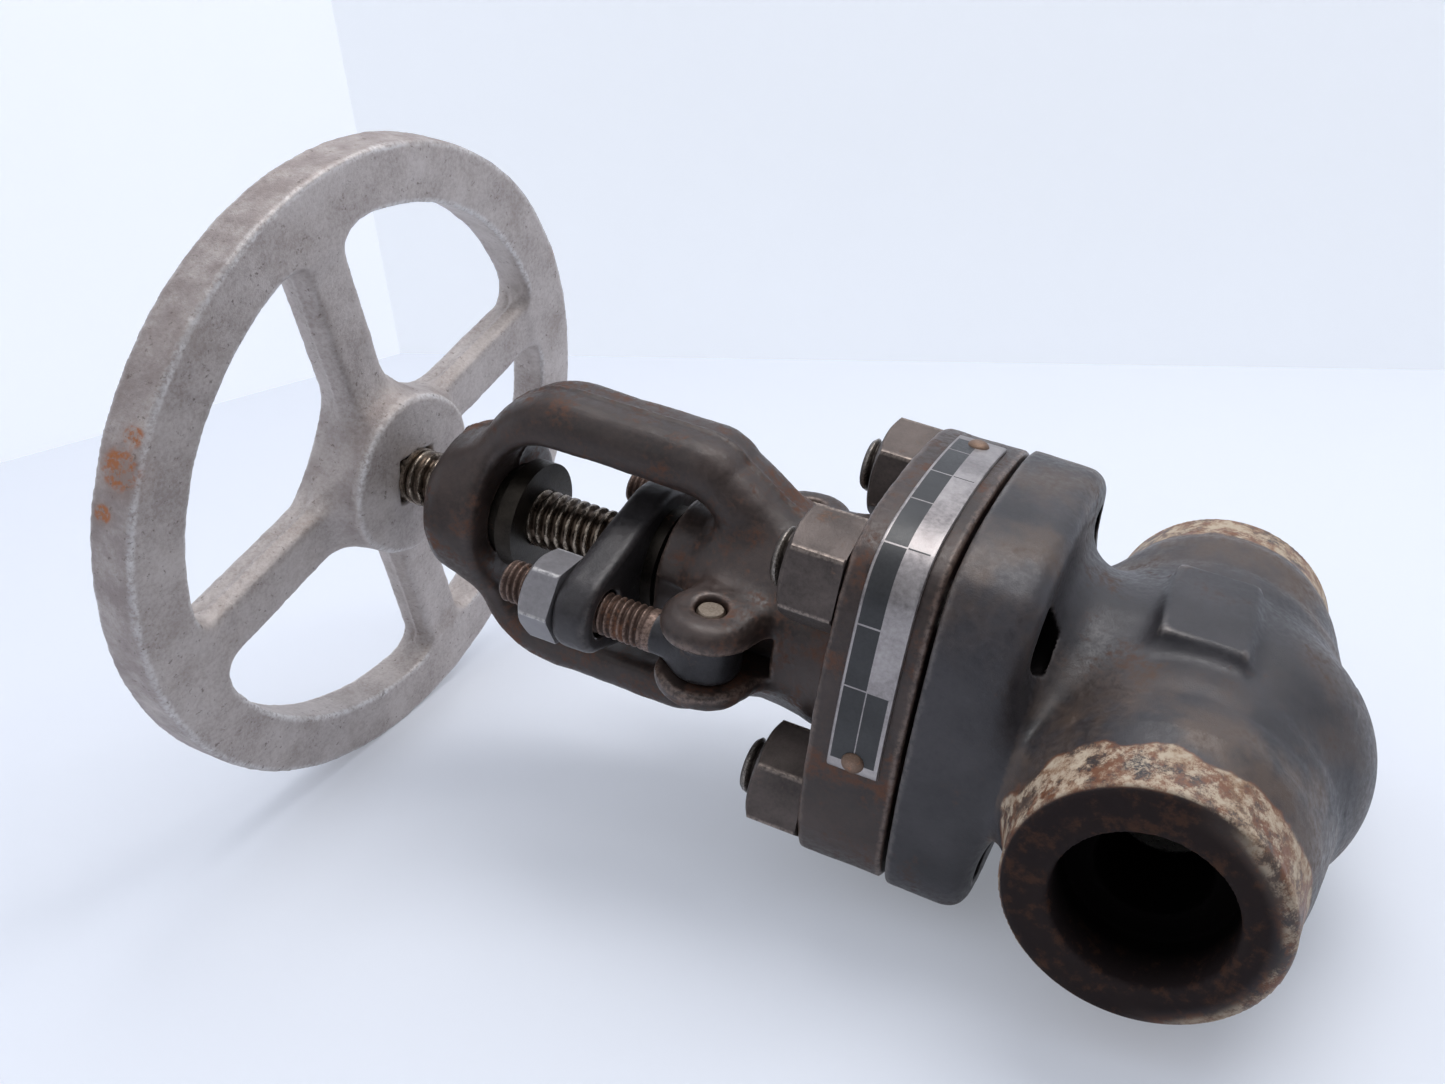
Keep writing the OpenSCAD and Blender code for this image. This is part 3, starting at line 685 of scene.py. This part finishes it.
def paint_body(piece):
    """Attributes for cream paint on the collars, soot on the socket faces, painted shade in the bore and
    stud holes, warm rusty metal and painted light on the flange top.
    """
    points = mesh_points(piece)
    along = np.abs(points[:, 0])
    run = np.hypot(points[:, 1], points[:, 2])
    ragged = 2.2 * rough_noise(points, 9.0, 3, 5.0)
    collar = np.clip((along - 44.5 + ragged) / 2.0, 0, 1) * np.clip((run - 24.5) / 1.0, 0, 1)
    near = points[:, 0] < 0
    face = np.clip((along - 56.2) / 0.6, 0, 1) * np.where(near, 1.0, 0.35)
    # Inside the bore: painted shade, dark as if no light reaches in.
    inside = np.clip((17.6 - run) / 0.5, 0, 1) * (along > 9)
    height = points[:, 2]
    rusty_side = np.clip((-height - 2) / 12, 0, 1) * np.clip((run - 21.5) / 3, 0, 1)
    store(piece, "paint", collar * (1 - face) + 0.55 * face * rusty_side)
    # The walls of the stud holes are painted dark: painted shade.
    stud_hole_painted_shade = np.zeros(len(points))
    for sx, sy in STUDS:
        reach = np.hypot(points[:, 0] - sx, points[:, 1] - sy)
        wall = np.clip((STUD_R + 0.55 - reach) / 0.4, 0, 1) * (points[:, 2] > STUD_HOLE_Z - 0.2)
        stud_hole_painted_shade = np.maximum(stud_hole_painted_shade, wall)
    # Soot on the socket faces, plus painted shade in the bore and the stud holes.
    soot_and_shade = np.maximum(face * (0.95 - 0.7 * rusty_side), inside)
    store(piece, "soot_and_shade", np.maximum(soot_and_shade, stud_hole_painted_shade))
    # Painted shade: the bore and the stud holes go near black.
    store(piece, "deep", np.maximum(inside * np.clip((56 - along) / 8, 0, 1), stud_hole_painted_shade))
    low_belly = np.clip((-height - 8) / 14, 0, 1)
    # The flange's side that faces up in the scene is painted lighter: painted light from above.
    flange_top_painted_light = np.clip((-points[:, 1] - 22) / 14, 0, 1) * (height > 33)
    run_warmth = np.clip((along - 18) / 16, 0, 1) * (height < 31)
    store(piece, "warm_tone_and_top_light", run_warmth + 0.5 * low_belly + 0.8 * flange_top_painted_light)


def machined_body(points):
    """0 on the sockets, the joint face and the bores, which stay smooth."""
    run = np.hypot(points[:, 1], points[:, 2])
    rho = np.hypot(points[:, 0], points[:, 1])
    rough = (run > 17.5) & (rho > 21) & (points[:, 2] < 50)
    return rough * np.clip((47 - np.abs(points[:, 0])) / 4, 0.08, 1)


def make_body():
    low, high = node_box("body")
    piece = forged_piece("body_forging", low, high, 0.7, body_shape, BODY, "root", dents=0.22,
                         rough=0.07, size=4.0, keep=machined_body)
    paint_body(piece)
    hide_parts("body")


BONNET_FOOT = 51.5
BONNET_TOP = 71
BOX_TOP = 119.3
STUD_CLEAR_R = 6.75
SPOTFACE_R = 13.6
MIRROR = 40  # how far an outline runs past the mirror plane
BONNET_BORES = (  # lower end, upper end and radius of each bore
    (40, 59, 12.5), (58, 66, 11.0), (59, 83, 7.6), (82, 124, 11.8), (156, 190, 11.0),
)


def yoke_outline():
    root = [(-MIRROR, 66), (22, 66), (22, 92)]
    arms = arc(23.5, 116, 12, -50, 0, 6) + arc(12.5, 149, 23, 0, 67, 10)
    return root + arms + [(17, 172.5), (-MIRROR, 172.5)]


def window_outline():
    side = arc(14, 117, 10, -90, 0, 6) + arc(10, 151, 14, 0, 90, 8)
    return [(-MIRROR, 107)] + side + [(-MIRROR, 165)]


def planar(y, z, points):
    """Distance from an outline in the Y-Z plane, mirrored about y = 0."""
    flat_y, flat_z = np.broadcast_arrays(np.abs(y[0]), z[0])
    return outline_distance(flat_y, flat_z, points)[None]


def bonnet_shape(x, y, z):
    rho = np.sqrt(x * x + y * y)
    wide = np.abs(x)
    deep = np.abs(y)
    plate = meet(meet(flange(x, y, 0), BONNET_FOOT - z, 0.8), z - BONNET_TOP, 1.6)
    neck = rho - np.interp(z, [68, 82, 99, BOX_TOP], [27.8, 22.2, 18.6, 17])
    neck = meet(neck, np.maximum(z - BOX_TOP, 60 - z), 1.0)
    outer = planar(y, z, yoke_outline())
    window = planar(y, z, window_outline())
    yoke = meet(outer, wide - 11, 8.0)
    head = drum(rho, z, 146, 180, 18.8, 5.0)
    yoke = cut(join(yoke, head, 6.0), window, 3.5)
    yoke = flash(yoke, x, 0.5, 0.3)
    pin = np.hypot(wide - EYE_X, z - EYE_Z)
    ear = drum(pin, y, -10.5, 10.5, 10.5, 4.0)
    web = round_box(wide - 17, y, z - 98, (10, 10.5, 8.5), 3.5)
    leg = round_box(wide - 12, y, z - 82, (8.5, 9, 14), 4.0)
    ears = join(join(ear, web, 4.0), leg, 7.0)
    shape = join(join(plate, neck, 4.0), join(yoke, ears, 9.0), 7.0)
    slot = np.maximum(np.maximum(deep - 5.0, 16 - wide), np.maximum(87 - z, z - 122))
    shape = cut(shape, slot, 1.0)
    shape = cut(shape, pin - 3.5, 0.9)
    for low, high, radius in BONNET_BORES:
        shape = cut(shape, np.maximum(rho - radius, np.maximum(low - z, z - high)), 0.4)
    shape = cut(shape, np.maximum(rho - JOINT_R, z - 52.5))
    for sx, sy in STUDS:
        hole = np.sqrt((x - sx) ** 2 + (y - sy) ** 2)
        shape = cut(shape, hole - STUD_CLEAR_R)
        shape = cut(shape, np.maximum(hole - SPOTFACE_R, np.maximum(BONNET_TOP - z, z - 88)), 0.8)
    return shape


def machined_bonnet(points):
    rho = np.hypot(points[:, 0], points[:, 1])
    bored = (rho < 13) & ((points[:, 2] < 118) | (points[:, 2] > 165))
    return np.where(bored | (points[:, 2] < 52), 0.0, 1.0)


def make_bonnet():
    low, high = node_box("bonnet_yoke")
    piece = forged_piece("bonnet_forging", low, high, 0.62, bonnet_shape, BONNET, "root", dents=0.3,
                         rough=0.1, size=4.0, keep=machined_bonnet)
    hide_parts("bonnet_yoke")


# ---- handwheel

WHEEL_R = 79.0
RIM_WIDTH = 14.2
RIM_EDGE = 1.1
RIM_Z = (199.2, 209.5)
HUB_Z = (193.2, 209.5)
SPOKE_Z = 204.5
SPOKE_ANGLE = 71.0
SPOKE_HALF = (70, 6.75, 4.5)
HUB_R = (20.7, 19.5)
WHEEL_SQUARE = 5.65
RUST_SPOTS = ((201, 203.5, 7.5), (206, 202, 4.0), (194, 206, 3.5), (330, 202, 5.0))  # angle, z, size


def wheel_shape(x, y, z):
    rho = np.sqrt(x * x + y * y)
    middle = (RIM_Z[0] + RIM_Z[1]) / 2
    qr = np.abs(rho - WHEEL_R + RIM_WIDTH / 2) - RIM_WIDTH / 2 + RIM_EDGE
    qz = np.abs(z - middle) - (RIM_Z[1] - RIM_Z[0]) / 2 + RIM_EDGE
    rim = np.hypot(np.maximum(qr, 0), np.maximum(qz, 0)) + np.minimum(np.maximum(qr, qz), 0) - RIM_EDGE
    hub = meet(rho - np.interp(z, HUB_Z, HUB_R), np.maximum(HUB_Z[0] - z, z - HUB_Z[1]), 2.0)
    spokes = None
    for turn in (SPOKE_ANGLE, SPOKE_ANGLE + 90):
        c, s = math.cos(math.radians(turn)), math.sin(math.radians(turn))
        bar = round_box(x * c + y * s, y * c - x * s, z - SPOKE_Z, SPOKE_HALF, 2.2)
        spokes = bar if spokes is None else join(spokes, bar, 3.0)
    spokes = flash(spokes, z - SPOKE_Z + 1.2, 0.7, 0.5)
    shape = join(join(spokes, rim, 7.0), hub, 9.0)
    shape = meet(shape, z - HUB_Z[1], 0.8)
    shape = np.maximum(shape, RIM_Z[0] - z - 6.0 * (rho < 40))
    return cut(shape, np.maximum(np.abs(x), np.abs(y)) - WHEEL_SQUARE, 0.8)


def rust_wheel(piece):
    """Orange spots on the rim's outer side and the stains round them."""
    points = mesh_points(piece)
    spots = np.zeros(len(points))
    for angle, z, size in RUST_SPOTS:
        a = math.radians(angle)
        centre = np.array((WHEEL_R * math.cos(a), WHEEL_R * math.sin(a), z))
        spots = np.maximum(spots, 1 - np.linalg.norm(points - centre, axis=1) / size)
    store(piece, "rust", spots)
    rho = np.hypot(points[:, 0], points[:, 1])
    outer = np.clip((rho - WHEEL_R + 1.2) / 1.2, 0, 1)
    hub = np.clip((24 - rho) / 3, 0, 1) * np.clip((rho - 19.5) / 1.5, 0, 1) * (points[:, 2] > 195)
    store(piece, "side", np.maximum(outer, hub * 0.8))


def machined_wheel(points):
    return np.where(np.hypot(points[:, 0], points[:, 1]) < 9, 0.0, 1.0)


def make_wheel():
    low, high = node_box("handwheel")
    piece = forged_piece("handwheel_casting", low, high, 0.72, wheel_shape, WHEEL, "stem_and_wheel",
                         dents=0.16, rough=0.1, size=2.2, keep=machined_wheel)
    rust_wheel(piece)
    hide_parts("handwheel")


# ---- gland flange and eyebolts

EYE_R = 7.8
EYE_HALF = 4.6
SHANK_R = 4.7
SHANK_TOP = 112
BOLT_TOP = 148.4
BOLT_R = 4.76
BOLT_PITCH = 1.5875
PIN_R = 3.05
PIN_ENDS = 9.6  # chamfers start here
GLAND_Z = (124, 133)


def gland_flange_shape(x, y, z):
    big, small, span = 18.0, 9.5, EYE_X
    b = (big - small) / span
    a = math.sqrt(1 - b * b)
    px, py = np.abs(y), np.abs(x)
    k = -b * px + a * py
    middle = a * px + b * py - big
    outline = np.where(k > a * span, np.hypot(px, py - span) - small, middle)
    outline = np.where(k < 0, np.hypot(px, py) - big, outline)
    shape = meet(meet(outline, z - GLAND_Z[1], 3.5), GLAND_Z[0] - z, 2.0)
    shape = cut(shape, np.hypot(x, y) - 8, 0.8)
    return cut(shape, np.hypot(np.abs(x) - EYE_X, y) - 5.36, 0.8)


def make_gland_flange():
    low, high = node_box("gland_flange")
    piece = forged_piece("gland_flange_forging", low, high, 0.42, gland_flange_shape, GLAND_FLANGE,
                         "gland_assembly", dents=0.15, rough=0.06, size=3.0)
    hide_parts("gland_flange")


def make_eyebolt(side, where):
    x0 = side * EYE_X

    def shape(x, y, z):
        eye = drum(np.hypot(x - x0, z - EYE_Z), y, -EYE_HALF, EYE_HALF, EYE_R, 1.5)
        shank = np.maximum(np.hypot(x - x0, y) - SHANK_R, np.maximum(z - SHANK_TOP, EYE_Z - z))
        return cut(join(eye, shank, 3.0), np.hypot(x - x0, z - EYE_Z) - 3.1, 0.6)

    low, high = node_box("eyebolt_" + where)
    high = np.array((high[0], high[1], SHANK_TOP + 0.5))
    eye = forged_piece("eye_" + where, low, high, 0.4, shape, SHADED_EYE, "root", dents=0.08, rough=0.04,
                       size=3.0)
    rows = np.arange(SHANK_TOP - 0.5, BOLT_TOP, 0.17)
    thread = thread_radius(BOLT_R, BOLT_PITCH, 0.85, SHANK_TOP + 1.0, 147.6)
    bolt = turned_solid("eyebolt_thread_" + where, rows, thread, (x0, 0, 0), [EYEBOLT], "root", 48,
                        lambda r: (r - 3.9) / 0.86, 60, top=0.4)
    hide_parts("eyebolt_" + where)


# ---- threads, nuts, pins

def thread_radius(radius, pitch, depth, start, end, crest=0.12):
    """Radius of a single-start right-hand thread that runs from start to end."""
    def shape(angle, height):
        phase = (height / pitch - angle / TURN) % 1.0
        wave = np.abs(phase - 0.5) * 2
        wave = np.clip((wave - crest) / (1 - 2 * crest), 0, 1)
        ramp = np.clip((height - start) / pitch, 0, 1) * np.clip((end - height) / pitch + 0.3, 0, 1)
        r = radius - depth * wave * ramp
        return np.minimum(r, radius - np.clip(height - end, 0, None) * 0.9)
    return shape


STEM_R = 7.0
STEM_PITCH = 2.54
STEM_THREAD_Z = (117, 192)
SQUARE_Z = (193.15, 208.95)
SQUARE_HALF = 5.6
STEM_FOOT = (  # height and radius of the head, neck and backseat collar
    (14.6, 7.2), (14.8, 7.4), (18.4, 7.4), (18.6, 7.2), (18.61, 4.8), (27, 4.8), (30, 9), (31.5, 9),
    (33.5, 7),
)


def stem_rows(top):
    """Heights of the rings of the stem, close together where it is threaded."""
    rows = [h for h, _ in STEM_FOOT] + [60, 100, 117, *np.arange(117.4, 192.4, 0.28)]
    rows += [192.8, 193.1, 193.2, *np.arange(193.5, 209.0, 2.0), 208.9, 209.0]
    return rows + [*np.arange(209.2, top, 0.2), top]


def make_stem():
    top = node_box("stem")[1][2]
    heights = [h for h, _ in STEM_FOOT] + [500]
    radii = [v for _, v in STEM_FOOT] + [7]
    acme = thread_radius(STEM_R, STEM_PITCH, 1.15, 119.0, 191.0, 0.3)
    tip = thread_radius(5.0, 1.411, 0.7, 209.6, top - 0.8)

    def shape(angle, height):
        r = np.interp(height, heights, radii)
        threaded = (height > STEM_THREAD_Z[0]) & (height < STEM_THREAD_Z[1])
        r = np.where(threaded, np.minimum(r, acme(angle, height)), r)
        square = SQUARE_HALF / np.maximum(np.abs(np.cos(angle)), np.abs(np.sin(angle)))
        squared = (height > SQUARE_Z[0]) & (height < SQUARE_Z[1])
        r = np.where(squared, np.minimum(r, np.minimum(square, STEM_R)), r)
        return np.where(height >= SQUARE_Z[1], tip(angle, height), r)

    piece = turned_solid("stem_turned", stem_rows(top), shape, (0, 0, 0), [STEM], "stem_and_wheel", 96,
                         lambda r: np.clip((r - 5.9) / 1.1, 0, 1), 50)
    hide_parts("stem")


CORNER_SHARE = 0.572  # a nut's radius at its corners, as a share of its width over the flats
BONNET_NUT = (22.2, 12.3, 6.2)  # width over the flats, height and radius of the bore
GLAND_HEX = (17.5, 7.6, 4.7)
WHEEL_HEX = (17, 6.5, 4.9)


def hex_radius(flats, height, bevel):
    """Radius of a hexagon nut with its corners bevelled at the top."""
    def shape(angle, at):
        flat = (angle + math.pi / 6) % (TURN / 6) - TURN / 12
        r = np.minimum(flats / 2 / np.cos(flat), flats * CORNER_SHARE)
        top = np.interp(at, [0, height - bevel, height], [flats * 0.6, flats * 0.6, flats * 0.485])
        foot = np.interp(at, [0, bevel * 0.25], [flats * 0.555, flats * 0.6])
        return np.minimum(np.minimum(r, top), foot)
    return shape


def make_nut(name, centre, flats, height, bore, turn, material, body, bevel=None):
    bevel = bevel or flats * 0.07
    rows = [0, 0.3, 0.8, *np.linspace(1.5, height - bevel - 0.3, 6)]
    rows += [*np.linspace(height - bevel, height, 9)]
    hexagon = hex_radius(flats, height, bevel)
    turned = math.radians(turn)

    def outer(angle, at):
        return hexagon(angle - turned, at)

    nut = ring_solid(name, rows, outer, bore, centre, [material], body, 144, 24)
    places = mesh_points(nut) - np.array(centre)
    reach = np.hypot(places[:, 0], places[:, 1]) / (flats * CORNER_SHARE)
    # Wear on the corners; the band round the top bevel is brightened partly as wear and partly as a
    # painted highlight on the rounded bevel.
    rim = np.clip(1 - np.abs(places[:, 2] - height + bevel * 0.5) / bevel, 0, 1) * 0.5
    store(nut, "wear", np.maximum(np.clip((reach - 0.96) / 0.04, 0, 1), rim))
    return nut


def make_bonnet_bolting():
    nuts, studs = [], []
    for i, (x, y) in enumerate(STUDS):
        nuts.append(make_nut(f"bonnet_nut_{i + 1}", (x, y, BONNET_TOP), *BONNET_NUT, 12, NUT, "root"))
        rows = [42, 60, 81, *np.arange(81.2, 87.2, 0.2), 87.2]
        thread = thread_radius(STUD_R, 1.954, 1.15, 80.0, 86.3)
        studs.append(turned_solid(f"stud_{i + 1}", rows, thread, (x, y, 0), [STUD], "root", 64,
                                  lambda r: (r - 5.2) / 1.2, 60, start=i * 1.1))
    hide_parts("bonnet_nuts")
    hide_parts("bonnet_studs")


def make_gland_nuts():
    for side, where in ((-1, "inlet"), (1, "outlet")):
        body = where + "_nut"
        nut = make_nut("gland_nut_hex_" + where, (side * EYE_X, 0, 133.1), *GLAND_HEX, 30,
                       GLAND_NUT, body, 1.5)
        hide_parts("gland_nut_" + where)


def pin_radius(angle, height):
    """Radius of an eyebolt pin, with its ends chamfered."""
    return PIN_R - np.clip(np.abs(height) - PIN_ENDS, 0, 1) * 0.7 + 0 * angle


def make_eye_pins():
    rows = [-10.2, -10.1, -PIN_ENDS, 0, PIN_ENDS, 10.1, 10.2]
    for side, where in ((-1, "inlet"), (1, "outlet")):
        pin = turned_solid("eye_pin_" + where, rows, pin_radius, (side * EYE_X, 0, EYE_Z), [PIN],
                           "root", 64, None, 40, axis="y")
        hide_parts("eyebolt_pin_" + where)


def make_wheel_nut():
    nut = make_nut("handwheel_nut_hex", (0, 0, 211), *WHEEL_HEX, 20, GLAND_NUT, "stem_and_wheel")
    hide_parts("handwheel_nut")


# ---- nameplate

PLATE_Z = (55.0, 66.0)
PLATE_FIELDS = (0.03, 0.22, 0.35, 0.5, 0.63, 0.755, 0.885, 0.965)
PLATE_LINE = 0.007
LOWER_BAND, UPPER_BAND = 3, 5  # strips of the plate that can be dark


def plate_point(angle, grow):
    """Point of the bonnet flange's outline in a direction, pushed out by grow."""
    c, s = math.cos(angle), math.sin(angle)
    reach = []
    for half, u, v in ((FLANGE_HALF[0], abs(c), s), (FLANGE_HALF[1], abs(s), c)):
        shift = FLANGE_SIDE - half
        b = u * shift
        reach.append(-b + math.sqrt(b * b - shift * shift + (FLANGE_SIDE + grow) ** 2))
    side = min(reach)
    k = 2.6
    corner = FLANGE_CORNER + grow
    h = max(k - abs(side - corner), 0) / k
    r = min(side, corner) - h * h * k * 0.25
    return r * c, r * s


def plate_stations():
    """Directions along the plate, evenly spaced, with one at each edge of a field."""
    start = math.atan2(7, -41)
    end = math.atan2(-43.2, 20) + TURN
    marks = [start + (end - start) * f for f in (0.0,) + PLATE_FIELDS + (1.0,)]
    stations = []
    gap = PLATE_LINE / 2
    for a, b in zip(marks, marks[1:]):
        count = max(3, int((b - a) / 0.03))
        stations += [a + gap + (b - a - 2 * gap) * i / count for i in range(count + 1)]
    return stations, marks


def make_nameplate():
    stations, marks = plate_stations()
    rows = [PLATE_Z[0], 55.2, 55.5, 56.0, 60.4, 60.65, 65.3, 65.5, 65.8, PLATE_Z[1]]
    grow = [0.35, 0.72, 0.8, 0.8, 0.8, 0.8, 0.8, 0.8, 0.72, 0.35]
    points, faces, inks = [], [], []
    for i, angle in enumerate(stations):
        lip = 0.45 if i in (0, len(stations) - 1) else 0.0
        points += [(*plate_point(angle, g - lip), z) for z, g in zip(rows, grow)]
        points += [(*plate_point(angle, 0.02), z) for z in (rows[-1], rows[0])]
    n = len(rows) + 2
    for i in range(len(stations) - 1):
        middle = (stations[i] + stations[i + 1]) / 2
        field = sum(middle > m for m in marks) - 1
        line = any(stations[i] < m < stations[i + 1] for m in marks)
        for j in range(n):
            k = (j + 1) % n
            faces.append((i * n + j, (i + 1) * n + j, (i + 1) * n + k, i * n + k))
            upper = j == UPPER_BAND
            lower = j == LOWER_BAND and field == 1
            divider = line and j == LOWER_BAND and field in (3, 5)
            inks.append(1 if divider or ((upper or lower) and not line and 0 < field < 8) else 0)
    last = (len(stations) - 1) * n
    faces += [tuple(range(n)), tuple(range(last + n - 1, last - 1, -1))]
    inks += [0, 0]
    piece = to_mesh("nameplate_band", points, faces, [PLATE, PLATE_INK], "root", 40)
    for polygon, ink in zip(piece.data.polygons, inks):
        polygon.material_index = ink
    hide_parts("nameplate")


RIVET_ROWS = (0.3, 0.8, 1.1, 1.5, 1.8)  # heights and radii of a drive pin's head
RIVET_RADII = (2.3, 2.4, 2.3, 1.9, 1.2)


def rivet_radius(angle, height):
    return np.interp(height, RIVET_ROWS, RIVET_RADII) + 0 * angle


def make_drive_pins():
    left = ("left", (-40.5, 4, 60.5), -math.pi / 2, "Y")
    right = ("right", (15, -43.2, 60.5), math.pi / 2, "X")
    for where, place, angle, axis in (left, right):
        pin = turned_solid("drive_pin_" + where, RIVET_ROWS, rivet_radius, (0, 0, 0), [RIVET], "root",
                           32, None, 60, top=0.1)
        shift = Matrix.Translation([v * MM for v in place])
        pin.data.transform(shift @ Matrix.Rotation(angle, 4, axis))
    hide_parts("nameplate_pins")


# ---- scene

CARRIED = {
    "seat_ring_inlet": SEAT, "seat_ring_outlet": SEAT, "wedge": SEAT, "bonnet_gasket": GASKET,
    "backseat_bushing": SEAT, "packing_washer": SEAT, "packing_rings": GRAPHITE, "gland": BUSHING_OILY_AND_SHADED,
    "yoke_bushing": BUSHING_OILY_AND_SHADED, "yoke_bushing_pin": PIN, "handwheel_washer": GLAND_NUT,
}


def dress_carried_nodes():
    for name, material in CARRIED.items():
        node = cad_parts[name]
        for slot in node.material_slots:
            slot.material = material


make_body()
make_bonnet()
make_wheel()
make_gland_flange()
make_eyebolt(-1, "inlet")
make_eyebolt(1, "outlet")
make_stem()
make_bonnet_bolting()
make_gland_nuts()
make_eye_pins()
make_wheel_nut()
make_nameplate()
make_drive_pins()
dress_carried_nodes()


# ---- floor, walls and light

FLOOR_UP = Vector((0.0, -0.98, 0.201)).normalized()


def lowest_along(direction):
    """Smallest distance along a direction of any shown piece, in metres."""
    low = 1e9
    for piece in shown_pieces():
        low = min(low, float((mesh_points(piece) @ np.array(direction)).min()) * MM)
    return low


def pale_surface(name, colour, glow=0.0):
    """Matt pale surface that can't be seen from behind, lit a little from within by glow."""
    n = Nodes(name)
    tint = n.mix(n.noise(60, 3), colour, tuple(c * 0.985 for c in colour))
    diffuse = n.fill("ShaderNodeBsdfDiffuse", {"Color": tint})
    light = n.fill("ShaderNodeEmission", {"Color": tint, "Strength": glow})
    front = n.fill("ShaderNodeAddShader", {0: diffuse.outputs[0], 1: light.outputs[0]})
    clear = n.add("ShaderNodeBsdfTransparent")
    back = n.add("ShaderNodeNewGeometry").outputs["Backfacing"]
    both = n.fill("ShaderNodeMixShader", {0: back, 1: front.outputs[0], 2: clear.outputs[0]})
    n.fill("ShaderNodeOutputMaterial", {"Surface": both.outputs[0]})
    return n.material


def flat_panel(name, centre, across, up, half_width, half_height, material):
    """Rectangle whose front faces across x up."""
    signs = ((-1, -1), (1, -1), (1, 1), (-1, 1))
    corners = [centre + across * (half_width * i) + up * (half_height * j) for i, j in signs]
    mesh = bpy.data.meshes.new(name)
    mesh.from_pydata([tuple(c) for c in corners], [], [(0, 1, 2, 3)])
    mesh.materials.append(material)
    panel = add_object(name, mesh)
    return panel


def floor_axes():
    """Directions on the floor: to the right and away, as the camera sees it."""
    away = -Vector(CAMERA_BACK)
    away = (away - FLOOR_UP * away.dot(FLOOR_UP)).normalized()
    return away.cross(FLOOR_UP), away


def add_area(name, place, aim, size, power, colour):
    data = bpy.data.lights.new(name, "AREA")
    data.shape = "DISK"
    data.size = size
    data.energy = power
    data.color = colour
    lamp = add_object(name, data)
    lamp.location = place
    lamp.rotation_euler = (Vector(aim) - Vector(place)).to_track_quat("-Z", "Y").to_euler()


WALL_CORNER = (-0.311, 0.43)
WALL_RIGHT = (1.754, 0.102)
WALL_LEFT = (-0.936, -0.29)
WALL_HEIGHT = 1.6


def make_stage():
    """Pale floor, and two pale walls that meet in a corner behind the valve."""
    right, away = floor_axes()
    base = FLOOR_UP * lowest_along(FLOOR_UP)
    pale = pale_surface("pale_floor", (0.56, 0.585, 0.64), 0.38)
    wall = pale_surface("pale_wall", (0.8, 0.825, 0.865), 0.3)
    flat_panel("floor", base, right, away, 3.0, 3.0, pale)
    walls = (("wall_right", WALL_CORNER, WALL_RIGHT), ("wall_left", WALL_LEFT, WALL_CORNER))
    for name, first, second in walls:
        start = base + right * first[0] + away * first[1]
        end = base + right * second[0] + away * second[1]
        across = (end - start).normalized()
        middle = (start + end) / 2 + FLOOR_UP * WALL_HEIGHT / 2
        flat_panel(name, middle, across, FLOOR_UP, (end - start).length / 2, WALL_HEIGHT / 2, wall)


def make_lights():
    right, away = floor_axes()
    middle = Vector((0, 0, 0.09))
    key = middle + FLOOR_UP * 0.75 + away * 0.35 + right * 0.25
    add_area("key", key, middle, 0.9, 10.0, (1.0, 0.985, 0.97))
    fill = middle + FLOOR_UP * 0.5 - away * 0.6 - right * 0.6
    add_area("fill", fill, middle, 0.8, 0.8, (0.93, 0.96, 1.0))


def make_world():
    """Pale sky, brightest overhead and behind the valve."""
    world = bpy.data.worlds.new("soft_sky")
    world.use_nodes = True
    tree = world.node_tree
    background = tree.nodes["Background"]
    background.inputs["Color"].default_value = (0.89, 0.925, 1.0, 1)
    place = tree.nodes.new("ShaderNodeTexCoord")
    height = tree.nodes.new("ShaderNodeVectorMath")
    height.operation = "DOT_PRODUCT"
    height.inputs[1].default_value = (FLOOR_UP + floor_axes()[1] * 0.6).normalized()
    tree.links.new(place.outputs["Generated"], height.inputs[0])
    strength = tree.nodes.new("ShaderNodeMapRange")
    for name, value in (("From Min", -0.1), ("From Max", 0.9), ("To Min", 0.2), ("To Max", 1.2)):
        strength.inputs[name].default_value = value
    tree.links.new(height.outputs["Value"], strength.inputs["Value"])
    tree.links.new(strength.outputs["Result"], background.inputs["Strength"])
    bpy.context.scene.world = world


make_stage()
make_lights()
make_world()
bpy.context.scene.view_settings.view_transform = "Standard"
